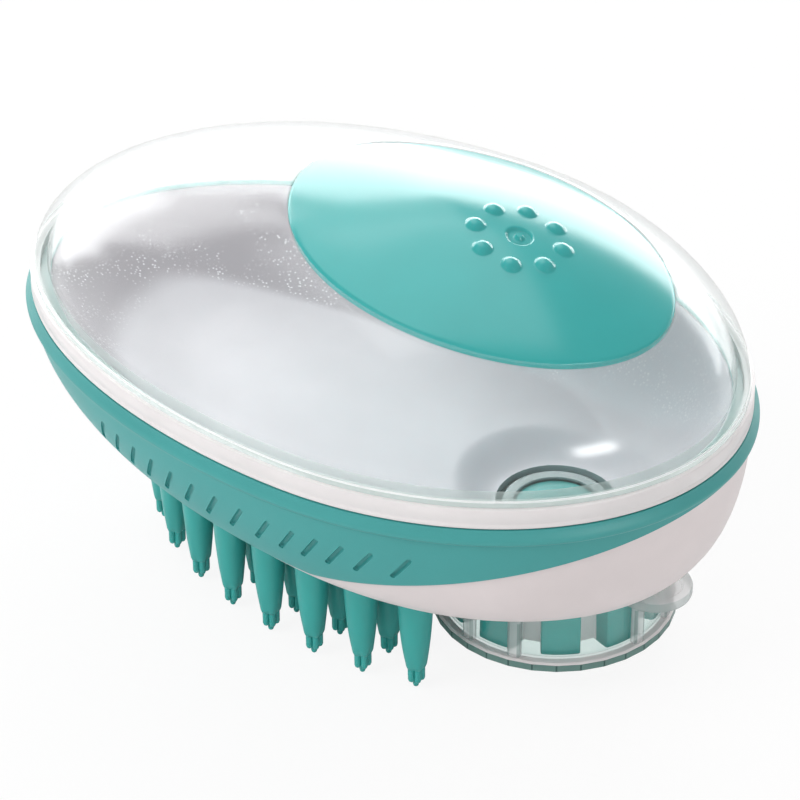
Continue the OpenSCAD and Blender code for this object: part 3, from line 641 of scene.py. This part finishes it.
def build_shell():
    """Rows: bottom outside up to the band, back behind it to the rim, and down the inside."""
    t = round_shell
    seat, wall = band_t + fit_gap, 1.5
    low = share_scale(edge_share(t))
    rows = [hull_row(t, low * k, 0) for k in (0.12, 0.3, 0.5, 0.66, 0.76, 0.84, 0.9)]
    edge, wall_foot = edge_share(t), np.sqrt(1 - (0.9 * low) ** hull_power)
    for k in (0.93, 0.84, 0.74, 0.63, 0.52, 0.41, 0.31, 0.22, 0.14, 0.07, 0.02, 0.0):
        rows.append(hull_row(t, share_scale(edge + (wall_foot - edge) * k), 0))
    rows.append(hull_row(t, low, 0.25))
    rows += [hull_row(t, share_scale(k * edge_share(t)), seat) for k in np.linspace(1, 0.1, 8)]
    rows += [stacked(*egg(t, 1, seat), rim_z - fit_gap), stacked(*egg(t, 1, 3.4), rim_z - fit_gap)]
    rows += [hull_row(t, share_scale(k * edge_share(t)), seat + wall) for k in np.linspace(0.2, 1, 6)]
    rows += [hull_row(t, low * k, shell_t) for k in (0.96, 0.88, 0.7, 0.5, 0.3, 0.12)]
    poles = [[widest_x, 0, float(hull_z(widest_x, 0.0, inset))] for inset in (0.0, shell_t)]
    return capped("lower_shell", rows, *poles, 35)


shell = build_shell()
mat_x, mat_y = egg(round_egg, mat_scale)
opening = prism("mat_opening", mat_x, mat_y, -5, rim_z)
keep = prism("keep_port", *disc(cap_x, 0, flange_r + port_clear, 128), -6, rim_z + 1)
cut(opening, keep)
hole = prism("neck_hole", *disc(cap_x, 0, clear_r, 96), -5, rim_z)
screws = []
for turn in screw_turns:
    sx, sy = (float(v) for v in egg(math.radians(turn), screw_scale))
    head = float(hull_z(sx, min(1, float(egg_scale(sx, sy))))) + head_seat
    screws.append(prism("head", *disc(sx, sy, head_r, 32), -5, head))
    screws.append(prism("hole", *disc(sx, sy, shaft_r, 24), -5.5, rim_z))
cut(shell, opening, hole, *screws)
dress(shell, white_shell, stands_for=["body_shell"])
print("shell:", len(shell.data.polygons), "faces")

# %% [markdown]
# ## Grip band
# The band is a soft overmould: a round bead all the way round under the white ring, and a broad
# grip at the sides with slanted grooves for the fingers. It narrows to the bead alone round the
# wide end, where the cap needs room.

# %% Grip band
bead_h, proud = 2.8, 0.3
groove_count, groove_l, groove_w, groove_depth = 14, 6.2, 0.9, 0.6
groove_from, groove_span, groove_ease = 66.7, 55.8, 0.83
groove_high, groove_fall, fall_ease, groove_low, groove_edge = 0.385, 0.145, 0.75, 0.52, 0.7
groove_slant, slant_less, groove_less = 36, 10, 0.9


def build_band():
    """Rows: up the inner side, over the top, round the bead, down the wall and round its edge."""
    t = round_shell
    share = edge_share(t)
    x0, _ = egg(t)
    f0 = bead_h / depth_at(x0)
    f1 = np.maximum(f0 + 0.005, share)
    rows = [hull_row(t, share_scale(k * share), band_t) for k in np.linspace(1, 0.25, 6)]
    rows += [stacked(*egg(t, 1, band_t), rim_z), stacked(*egg(t, 1, 0.1), rim_z)]
    for u in np.linspace(0, 1, 13):
        out = 0.1 + 0.2 * u + 0.75 * math.sin(math.pi * u**1.8) ** 0.8
        rows.append(stacked(*egg(t, 1, -out), rim_z - 0.97 * bead_h * u))
    for k in (0.03, 0.1, 0.2, 0.32, 0.44, 0.56, 0.68, 0.8, 0.9, 0.96, 0.985):
        rows.append(hull_row(t, share_scale(f0 + (f1 - f0) * k), -proud))
    for k, out in ((0.996, -0.24), (1.0, -0.1), (1.0, 0.1)):
        rows.append(hull_row(t, share_scale(f0 + (f1 - f0) * k), out))
    return ring_piece("grip", np.array(rows), 45)


def groove_cutter(side, k):
    """Slot with round ends, laid on the wall of the band at its place and slant."""
    f = k / (groove_count - 1)
    t = math.radians(groove_from + groove_span * f**groove_ease)
    share = min(groove_high + groove_fall * f**fall_ease, groove_low, groove_edge * float(edge_share(t)))

    def at(turn, part):
        """Point of the band at an angle and at a share of the shell's depth."""
        return hull_row(np.array([-turn]), share_scale(part), -proud)[0]

    p, q, lower = at(t, share), at(t + math.radians(1), share), at(t, share + 0.1)
    along = q - p
    along[2] = 0
    along /= np.linalg.norm(along)
    down = lower - p
    down -= along * (down @ along)
    down /= np.linalg.norm(down)
    out = np.cross(along, down)
    slant = math.radians(groove_slant - slant_less * f)
    length = groove_l - groove_less * (1 - f)
    axis = -down * math.cos(slant) + along * -math.sin(slant)
    across = np.cross(axis, out)
    a = np.linspace(0, TURN, 24, endpoint=False)
    ends = np.where(np.sin(a) >= 0, 1, -1) * (length - groove_w) / 2
    u, v = groove_w / 2 * np.cos(a), groove_w / 2 * np.sin(a) + ends
    flat = u[:, None] * across + v[:, None] * axis
    small = 0.55 * u[:, None] * across + (v - 0.2 * np.sign(v))[:, None] * axis
    if out @ (p - np.array([widest_x, 0, rim_z])) < 0:
        out = -out
    rows = np.array([p + flat + 3 * out, p + flat - (groove_depth - 0.25) * out,
                     p + small - groove_depth * out])
    mirror = np.array([1, -1 if side else 1, 1])
    return face_outward(capped("groove", rows * mirror, (p + 3 * out) * mirror,
                               (p - groove_depth * out) * mirror))


def volume_of(piece):
    """Signed volume of a closed mesh: negative where its faces point inwards."""
    body = bmesh.new()
    body.from_mesh(piece.data)
    v = body.calc_volume(signed=True)
    body.free()
    return v


def face_outward(piece):
    """Turns the faces of a closed mesh round if they point inwards."""
    if volume_of(piece) < 0:
        piece.data.flip_normals()
    return piece


band = build_band()
cut(band, *[groove_cutter(side, k) for side in (0, 1) for k in range(groove_count)])
dress(band, teal_band, stands_for=["grip_band"])
print("band:", len(band.data.polygons), "faces")

# %% [markdown]
# ## Pan
# The pan closes the reservoir from below. Its floor is smooth and eases down round the filler's
# port. Its wall flares up to the rim and holds a mist of fine drops. The wall's grey is partly the
# mist and partly painted shade, and pales towards one side as painted light; the drops' bright
# flecks are painted glints. Where the mist and its painted shade begin is an outline of its own,
# wider on the near side than on the far one.

# %% Reservoir pan
pan_inset, pan_floor, pan_in, pan_t, port_r = 3.8, 0.62, 5.5, 1.6, 9.6
funnel_z, collar_z, dish_w = 24.2, 23.0, 7.0
wall_power = 1.7
# Outline where the mist and its painted shade begin on the pan's wall.
mist_shade_back, mist_shade_front, mist_shade_near, mist_shade_far, mist_shade_more = 53, 50, 40, 18.5, 5
# Way towards the side that painted light pales.
painted_light_side_way = np.array([0.822, 0.569, 0.0])


def pan_z(x, s, up=0.0):
    """Height of the pan: flat in the middle, flaring up beyond the floor's edge."""
    out = np.maximum(0, (s - pan_floor) / (1 - pan_floor))
    return rim_z + fit_gap - (depth_at(x) - pan_in) * (1 - out**wall_power) + up


def from_axis(x, y):
    """Distance from the upright axis that the filler's port and the cap share."""
    return np.hypot(x - cap_x, y)


def dished(x, y, z, low):
    """The height z of a side of the floor, eased down to a low edge over a ring round the port."""
    return low + (z - low) * soft_step(from_axis(x, y), port_r, port_r + dish_w)


def pan_row(s, up):
    """Row of the pan at scale s of its own egg: the underside for up = 0, or else the top."""
    x, y = egg(round_egg, s, pan_inset)
    return stacked(x, y, dished(x, y, pan_z(x, s, up), funnel_z if up else collar_z))


def build_pan():
    """Rows: the underside outwards, the lip under the dome's skirt, and the top back to the middle."""
    rows = [pan_row(s, 0) for s in np.linspace(0.055, 1, 60)]
    rows += [stacked(*egg(round_egg, 1, inset), z) for inset, z in
             ((1.7, rim_z + fit_gap), (1.7, rim_z + 1.2), (3.6, rim_z + 1.2))]
    rows += [pan_row(s, pan_t) for s in np.linspace(0.975, 0.055, 70)]
    floor = float(pan_z(widest_x, 0.0))
    return capped("pan", rows, [widest_x, 0, floor], [widest_x, 0, floor + pan_t], 30)


pan = build_pan()
cut(pan, prism("port", *disc(cap_x, 0, port_r, 96), 0, rim_z + 5))
spots = places_of(pan.data.vertices, "co")
far_w = mist_shade_far + mist_shade_more * soft_step(spots[:, 0], -5, 25)
along = (spots[:, 0] - widest_x) / np.where(spots[:, 0] < widest_x, mist_shade_back, mist_shade_front)
across = spots[:, 1] / np.where(spots[:, 1] > 0, far_w, mist_shade_near)
# Shares for the pan: the wall, with mist and painted shade, and the way towards the painted light.
for share, values in (("wall", soft_step(np.hypot(along, across), 0.97, 1.08)),
                      ("painted_light_side", soft_step(spots @ painted_light_side_way, -25, 40))):
    pan.data.attributes.new(share, "FLOAT", "POINT").data.foreach_set("value", values)
dress(pan, white_pan, stands_for=["reservoir_pan"])
# The wall of the port's hole gets painted shade.
finish_faces(pan, (port_shade,), lambda x, y, z: from_axis(x, y) < port_r + 0.05)
print("pan:", len(pan.data.polygons), "faces")

# %% [markdown]
# ## Bristles
# Each bristle is a tapered stem that ends in five soft fingers round a longer one. The stem is
# a surface of revolution, and each finger a small capsule that grows out of its end. The rows
# follow ellipses inside the egg, and leave room for the cap's tab to turn.

# %% Bristles: places
row_front, row_back = mat_scale * wide_a + 0.5, mat_scale * narrow_a - 3.2
row_b, row_step, row_round, bristle_pitch = 27.9, 6.2, 1.9, 9.2
bristle_d, shoulder_d, taper, lean = 5.7, 3.4, 2.2, 0.03
finger_l, finger_d, finger_orbit, finger_count, outer_tip = 4.1, 1.1, 0.9, 5, 1.25
tab_reach = 24.4


def row_point(t, inward):
    """Point of a row of bristles at angle t: an ellipse, a little more pointed at the narrow end."""
    back = np.cos(t) < 0
    power = np.where(back, 2 / row_round, 1.0)
    half_len = np.where(back, row_back, row_front) - inward
    across, along = (np.sign(v) * np.abs(v) ** power for v in (np.sin(t), np.cos(t)))
    return widest_x + half_len * along, (row_b - inward) * across


def row_places(inward, first, pitch):
    """Places at equal steps along one side of a row, mirrored to the other, clear of the cap's tab."""
    t = np.radians(np.arange(180, 361))
    x, y = row_point(t, inward)
    far = np.concatenate([[0], np.cumsum(np.hypot(np.diff(x), np.diff(y)))])
    places = []
    for d in np.arange(first, far[-1] + 1e-9, pitch):
        px, py = (float(v) for v in row_point(np.interp(d, far, t), inward))
        if math.hypot(px - cap_x, py) > tab_reach + bristle_d / 2 + 0.1:
            places += [(px, 0.0)] if abs(py) < bristle_d / 2 else [(px, py), (px, -py)]
    return places


# %% Bristles: shape
def capsule(x, y, tip, top, r, n=10):
    """A finger: a tube with a rounded end at the bottom, as rows and a pole."""
    t = turns(n)
    rows = [(r * math.sqrt(1 - (1 - k) ** 2), tip + r * k) for k in (0.12, 0.42, 1.0)]
    rows += [(r * 1.02, top - 1), (r, top)]
    rings = [stacked(x + a * np.cos(t), y + a * np.sin(t), z) for a, z in rows]
    points = np.concatenate(rings + [[[x, y, tip]]])
    faces = [grid_faces(len(rows), n), pole_faces(len(rows) * n, 0, n, True)]
    return points, faces


def stem(root, n=30):
    """A stem: a convex taper whose rounded end grows five lobes that run into the fingers."""
    t = turns(n)
    z = np.concatenate([np.array([-0.4, -0.3, -0.05, 0.35, 0.9]) + finger_l,
                        np.linspace(finger_l + 1.6, root - 1.2, 9), [root - 0.45, root, root + 0.8]])
    way = np.clip((z - finger_l) / (root - finger_l), 0, 1)
    r = shoulder_d / 2 + (bristle_d - shoulder_d) / 2 * (1 - (1 - way) ** taper)
    r[:3] = shoulder_d / 2 * np.array([0.6, 0.82, 0.95])
    lobe = 0.2 * np.exp(-np.maximum(0, z - finger_l) / 1.4)
    wave = np.cos(finger_count * (t - TURN / 2 / finger_count))
    rr = r[:, None] * (1 - lobe[:, None] * (1 - wave[None, :]) / 2)
    points = np.concatenate([stacked(rr * np.cos(t), rr * np.sin(t), z[:, None]).reshape(-1, 3),
                             [[0, 0, finger_l - 0.4]]])
    return points, [grid_faces(len(z), n), pole_faces(len(z) * n, 0, n, True)]


def bristle_piece(name, places, node):
    """All bristles of one node in a single mesh, each leaning in a little from its root."""
    points, faces, start = [], [], 0
    for x, y in places:
        root = float(hull_z(x, min(1, float(egg_scale(x, y, 0.3))), 0.3)) + 0.5
        parts = [stem(root), capsule(0, 0, 0.0, finger_l + 1, finger_d / 2 - 0.05)]
        for i in range(finger_count):
            a = (i + 0.5) * TURN / finger_count
            x_off, y_off = finger_orbit * math.cos(a), finger_orbit * math.sin(a)
            parts.append(capsule(x_off, y_off, outer_tip, finger_l + 1, finger_d / 2))
        for shape, blocks in parts:
            shape[:, 1] += shape[:, 2] * math.radians(lean * y)
            points.append(shape + [x, y, 0])
            faces += [block + start for block in blocks]
            start += len(shape)
    piece = make_mesh(name, np.concatenate(points), faces, 50)
    print(name, len(places), "bristles,", len(piece.data.polygons), "faces")
    return dress(piece, teal_soft, stands_for=[node])


half_pitch = bristle_pitch / 2
for name, node, rows in (
        ("bristles_rim", "bristles_outer", ((0, 3.9, bristle_pitch),)),
        ("bristles_next", "bristles_second", ((row_step, 4.4, bristle_pitch),)),
        ("bristles_core", "bristles_inner", ((2 * row_step, half_pitch, bristle_pitch),
                                             (3 * row_step, 0, 2 * bristle_pitch),
                                             (4 * row_step, half_pitch, bristle_pitch)))):
    bristle_piece(name, [place for row in rows for place in row_places(*row)], node)

# %% [markdown]
# ## Inner parts
# The mat, its plate and screws, the gaskets, the valves, the neck and the stopper are hidden or
# nearly so. They keep their own shape from CAD and only get a finish.

# %% CAD parts that keep their own shape
neck_end_z = 20.5
steel = plastic("screw_steel", linear(176, 178, 182), 0.3, 4000, 0.05)
steel.node_tree.nodes["Principled BSDF"].inputs["Metallic"].default_value = 1.0
kept = {
    "bristle_mat": teal_soft, "mat_plate": white_part, "dome_gasket": teal_soft,
    "outlet_valves": teal_soft, "plate_screws": steel, "port_neck": white_part,
    "neck_gasket": teal_soft, "cap_stopper": teal_soft,
}
for node, finish in kept.items():
    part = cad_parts[node]
    part.data.materials.clear()
    part.data.materials.append(finish)
# The neck's top end, seen down the port, gets painted shade.
finish_faces(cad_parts["port_neck"], (port_shade,), lambda x, y, z: z > neck_end_z)
print(len(kept), "CAD parts finished")

# %% [markdown]
# ## Fill cap
# The cap is one clear moulding: a cup with a faceted flange, finger ribs in pairs, a tab to turn
# it by, and in its middle the threaded stem that screws into the neck. Its wall is true glass,
# since the thick wall bends what is seen through it. The flange's side is painted with the teal
# that it holds, as seen through the clear plastic, and its top with a painted reflection. The
# corners of the flange, the ribs and the tab carry painted dark lines where the clear plastic bends
# the light, and the stem's end carries painted shade.

# %% Fill cap: cup and flange
cup_z, cup_top, cup_r, cup_in, cup_floor, flange_z = 5.0, 16.0, 18.3, 17.0, 6.6, 6.8
stem_r, stem_in, stem_top = 8.7, 6.7, 23.8
facet_count, facet_gap = 32, 0.28


def turned_rows(section, t):
    """Rows of a surface of revolution round the cap's axis, from a section of (radius, height)."""
    r, z = np.array(section, float).T[:, :, None]
    return stacked(cap_x + r * np.cos(t), r * np.sin(t), z)


def build_cup():
    """Section: underside, wall, inside of the cup, up the stem and down its bore, with two poles."""
    edge = cup_r - 0.3
    section = [(9, cup_z)] + arc(edge, cup_z + 0.3, 0.3, 270, 360, 4)
    section += arc(edge, cup_top - 0.3, 0.3, 0, 90, 4)
    section += [(cup_in + 0.3, cup_top), (cup_in, cup_top - 0.2), (cup_in, cup_floor + 0.3),
                (cup_in - 0.3, cup_floor), (stem_r + 0.3, cup_floor), (stem_r, cup_floor + 0.3),
                (stem_r, stem_top - 0.3), (stem_r - 0.2, stem_top), (stem_in + 0.2, stem_top),
                (stem_in, stem_top - 0.2), (stem_in, cup_floor + 0.4), (stem_in - 0.3, cup_floor)]
    rows = turned_rows(section, round_egg)
    return capped("cap_cup", rows, [cap_x, 0, cup_z], [cap_x, 0, cup_floor], 35)


def build_flange():
    """Ring whose outside is made of flats, with a narrow face at each corner between two flats."""
    corner, half = turns(facet_count), facet_gap / flange_r / 2
    t = np.stack([corner - half, corner + half], -1).ravel()
    inner, foot = cup_r - 0.15, cup_z
    section = [(inner, foot + 0.02), (flange_r - 0.4, foot), (flange_r, foot + 0.3),
               (flange_r, flange_z - 0.3), (flange_r - 0.3, flange_z), (inner, flange_z)]
    return ring_piece("cap_flange", turned_rows(section, t), 12)


cup = dress(build_cup(), clear_cap, "cap", stands_for=["fill_cap"])
# The stem's top end gets painted shade; the cup's wall is glass.
finish_faces(cup, (cap_wall, stem_end_painted_shade), lambda x, y, z: np.where(
    z > stem_top - 1, 2, from_axis(x, y) > cup_in - 0.1))
flange = dress(build_flange(), flange_side, "cap")
# Top faces get the painted reflection, corner faces the painted dark lines.
finish_faces(flange, (flange_top, flange_edge), lambda x, y, z: np.where(
    z > flange_z - 0.25, 1, 2 * (from_axis(x, y) > flange_r - 0.03)))

# %% Fill cap: the lobed seal inside the cup
seal_r, seal_in, seal_bore, seal_top, seal_seat = 16.7, 13.5, 9.1, 15.6, 8.0
lobe_count, lobe_gap = 10, 3.6


def build_seal():
    """Ring whose outside steps in at each gap between two lobes, and whose inside clears the neck."""
    t = turns(480)
    pitch = TURN / lobe_count
    from_gap = np.abs((t + pitch / 2) % pitch - pitch / 2)
    half = lobe_gap / 2 / seal_r
    lobe = soft_step(from_gap, half - 0.012, half + 0.03)
    outside = seal_in + 0.15 + (seal_r - seal_in - 0.15) * lobe
    foot = cup_floor + 0.1
    section = [(seal_bore, foot), (outside - 0.3, foot), (outside, foot + 0.3),
               (outside, seal_top - 0.4), (outside - 0.4, seal_top), (seal_in, seal_top),
               (seal_in, seal_seat), (seal_bore, seal_seat)]
    rows = [stacked(cap_x + r * np.cos(t), r * np.sin(t), z) for r, z in section]
    return ring_piece("cap_lobes", np.array(rows), 35)


seal = dress(build_seal(), teal_soft, "cap_lift", stands_for=["cap_seal"])
# The seal's inner face, seen in the gaps between lobes, gets the white lifted by painted light.
finish_faces(seal, (gap_white_painted_light,), lambda x, y, z: from_axis(x, y) < seal_in + 0.4)

# %% Fill cap: ribs, tab and thread
rib_r, rib_out, rib_side, rib_round, rib_turn, rib_edge_at = 18.45, 0.75, 1.1, 0.45, 13, 1.14
tab_w, tab_root, tab_edge_low, tab_edge_high = 12.0, 16.2, 14.25, 15.95
thread_turns, thread_h, thread_z, thread_lead, thread_w, thread_steps = 2.5, 0.55, 14.0, 3.0, 1.0, 48


def layers(name, outline, steps):
    """Solid from one outline function: steps are (inset, height) rows, with a pole at either end."""
    rows = np.array([stacked(*outline(inset), z) for inset, z in steps])
    return capped(name, rows, rows[0].mean(0), rows[-1].mean(0), 35)


def rib_outline(turn):
    """Plan of a rib at an angle: a rounded block that stands out of the cup's wall."""
    def outline(inset):
        t = turns(24)
        u = rib_r + (rib_out - inset) * np.sign(np.cos(t)) * np.abs(np.cos(t)) ** rib_round
        v = (rib_side - inset) * np.sign(np.sin(t)) * np.abs(np.sin(t)) ** rib_round
        return (cap_x + u * math.cos(turn) - v * math.sin(turn),
                u * math.sin(turn) + v * math.cos(turn))
    return outline


def rib_corners(turn):
    """Rule that picks the faces on the upright corners of the rib at an angle."""
    def choose(x, y, z):
        u = (x - cap_x) * math.cos(turn) + y * math.sin(turn) - rib_r
        v = y * math.cos(turn) - (x - cap_x) * math.sin(turn)
        return np.hypot(u / rib_out, v / rib_side) > rib_edge_at
    return choose


def tab_outline(inset):
    """Plan of the tab: straight sides out of the wall, and a half circle at its end."""
    t = np.radians(np.linspace(-90, 90, 33))
    end = tab_reach - tab_w / 2
    x = np.array([end - 0.2, tab_root + inset, tab_root + inset, end - 0.2])
    y = np.array([tab_w / 2, tab_w / 2, -tab_w / 2, -tab_w / 2]) * (1 - inset / (tab_w / 2))
    bow_x, bow_y = end + (tab_w / 2 - inset) * np.cos(t), (tab_w / 2 - inset) * np.sin(t)
    return cap_x + np.concatenate([bow_x, x]), np.concatenate([bow_y, y])


def tab_in(x, y):
    """How far a point lies inside the tab's outline."""
    end = cap_x + tab_reach - tab_w / 2
    return np.where(x > end, tab_w / 2 - np.hypot(x - end, y), tab_w / 2 - np.abs(y))


def thread_rows(r0, r1):
    """Rows of a helical ridge: a trapezium that climbs with the turn and fades in at both ends."""
    i = np.arange(int(thread_steps * thread_turns) + 1)
    a, z = i * TURN / thread_steps, thread_z + thread_lead * i / thread_steps
    fade = np.clip(np.minimum(i, i[::-1]) / 8, 0.15, 1)
    low, high = r0 + 0 * fade, r0 + (r1 - r0) * fade
    r = np.stack([low, high, high, low], -1)
    up = np.array([0, 0.3, 0.7, 1]) * thread_w
    return stacked(cap_x + r * np.cos(a)[:, None], r * np.sin(a)[:, None], z[:, None] + up)


for number, middle in enumerate((0, 90, 180, 270)):
    for turn, mark in ((-rib_turn, "a"), (rib_turn, "b")):
        place = math.radians(middle + turn)
        rib = layers(f"cap_rib_{number}_{mark}", rib_outline(place),
                     ((0.3, 6.75), (0, 7.0), (0, 13.5), (0.15, 13.85), (0.45, 14.0)))
        dress(rib, rib_clear, "cap")
        # The rib's upright corners get painted dark lines.
        finish_faces(rib, (rib_edge,), rib_corners(place))
tab = layers("cap_tab", tab_outline, ((0.4, 14.2), (0.1, 14.3), (0, 14.6), (0, 15.6), (0.1, 15.9),
                                      (0.4, 16.0), (1.3, 16.0), (1.6, 15.75), (1.8, 15.1)))
dress(tab, rib_clear, "cap")
# The tab's side edges get painted dark lines.
finish_faces(tab, (tab_edge,), lambda x, y, z: (
    (z > tab_edge_low) & (z < tab_edge_high) & (tab_in(x, y) < 0.3)))
ridge = thread_rows(stem_r - 0.2, stem_r + thread_h)
last = 4 * (len(ridge) - 1)
ends = np.array([[3, 2, 1, 0], [last, last + 1, last + 2, last + 3]])
thread = make_mesh("cap_thread", ridge.reshape(-1, 3), [grid_faces(len(ridge), 4), ends], 30)
dress(face_outward(thread), clear_cap, "cap")
for piece in (cup, flange, seal, tab, thread, rib):
    print(piece.name, len(piece.data.polygons), "faces, volume", round(volume_of(piece) * 1e9, 1), "mm3")

# %% [markdown]
# ## Light
# Six soft lamps show only in mirrors: a wide one low behind the brush, which gives the top of the
# pad its highlight, two at the left and two above, which the dome mirrors, and a small one in
# front, like a window. Two more light the matt parts and show in no mirror. A white world and a
# pale floor fill the rest.

# %% World, lamps and floor
scene = bpy.context.scene
scene.view_settings.view_transform = "Standard"
world = bpy.data.worlds.new("studio")
scene.world = world
world.use_nodes = True
world.node_tree.nodes.clear()
sky = add(world, "Background", Color=(1, 1, 1, 1), Strength=0.6)
seen = add(world, "Background", Color=(1, 1, 1, 1), Strength=1.0)
mixed(world, sky, seen, either_ray(world, "Is Camera Ray", "Is Transmission Ray"), "OutputWorld")
camera_az, camera_el, camera_away = math.radians(34.69), math.radians(33.25), 0.650
front = Vector((math.sin(camera_az), -math.cos(camera_az), 0))
side = Vector((math.cos(camera_az), math.sin(camera_az), 0))
above = Vector((0, 0, 1))


def spot(forward, right, up):
    """Point in metres from the middle of the brush: towards the camera, to its right, and up."""
    return front * forward + side * right + above * up


def lamp(name, where, aim_at, width, height, power, mirrored=True, lights=True, roll=0.0):
    """Area lamp facing a point, with its power in watts and its roll in degrees. It can be left out
    of mirrors, or light nothing matt."""
    data = bpy.data.lights.new(name, "AREA")
    data.shape = "RECTANGLE"
    data.size, data.size_y, data.energy = width, height, power
    thing = bpy.data.objects.new(name, data)
    thing.location = where
    thing.rotation_mode = "QUATERNION"
    turned = (Vector(aim_at) - Vector(where)).to_track_quat("-Z", "Y")
    thing.rotation_quaternion = turned @ Quaternion((0, 0, 1), math.radians(roll))
    thing.visible_camera = False
    thing.visible_transmission = False
    thing.visible_glossy = mirrored
    thing.visible_diffuse = lights
    scene.collection.objects.link(thing)


for name, where, aim_at, width, height, power, roll in (
        ("softbox", spot(-1.2, 0.45, 0.04), spot(0, 0.45, 0.04), 2.4, 1.34, 68, 25),
        ("wing", spot(-1.2, -1.12, 0.2), spot(0, -1.12, 0.2), 0.95, 1.1, 22, 0),
        ("wing_fade", spot(-1.2, -0.95, 1.02), spot(0, -0.95, 0.9), 0.8, 0.55, 5.4, 0),
        ("window", spot(0.67, 0.56, 0.49), (0.04, -0.01, 0.05), 0.28, 0.15, 1.7, -6),
        ("fade", spot(-1.2, -0.25, 1.35), (0, 0, 0.1), 0.9, 0.55, 2.2, 12),
        ("ceiling", spot(-0.35, -0.08, 1.1), (0, 0, 0.05), 0.9, 0.85, 4.4, 0)):
    lamp(name, where, aim_at, width, height, power, lights=False, roll=roll)
lamp("back", spot(-1.2, 0, 0.8), (0, 0, 0.05), 1.6, 0.8, 12, mirrored=False)
lamp("key", spot(0.5, -0.8, 0.9), (0, 0, 0.03), 0.6, 0.6, 6, mirrored=False)

floor_mat = new_material("floor_white")
paper = add(floor_mat, "BsdfDiffuse", Color=(0.93, 0.93, 0.93, 1))
lit = add(floor_mat, "Emission", Strength=1.0)
share = add(floor_mat, "Math", "MULTIPLY")
share.inputs[1].default_value = 0.9
wire(floor_mat, (either_ray(floor_mat, "Is Camera Ray", "Is Transmission Ray"), 0, share, 0))
mixed(floor_mat, paper, lit, share)
fx, fy = np.array([-1500.0, 1500, 1500, -1500]), np.array([-1500.0, -1500, 1500, 1500])
ground = make_mesh("floor", stacked(fx, fy, -0.3), [np.array([[0, 1, 2, 3]])])
ground.data.materials.append(floor_mat)
print(len(bpy.data.lights), "lamps")

# %% [markdown]
# ## Camera
# A long lens looks down on the brush from its near side, turned towards the wide end. It aims a
# little off the middle of the rim.

# %% Camera
eye_back = Vector((math.sin(camera_az) * math.cos(camera_el),
                   -math.cos(camera_az) * math.cos(camera_el), math.sin(camera_el)))
eye_up = eye_back.cross(side)
rim_centre = Vector((0, 0, rim_z * MM))
aim = rim_centre + side * 0.00314 - eye_up * 0.00965
camera_data = bpy.data.cameras.new("camera")
camera_data.lens = 184.5
camera_data.sensor_width = 36
camera = bpy.data.objects.new("camera", camera_data)
camera.location = rim_centre + eye_back * camera_away
camera.rotation_mode = "QUATERNION"
camera.rotation_quaternion = (aim - camera.location).to_track_quat("-Z", "Y")
scene.collection.objects.link(camera)
bpy.context.scene.camera = camera
print(f"lens {camera_data.lens:.1f} mm, {camera_away:.2f} m from the rim's centre")
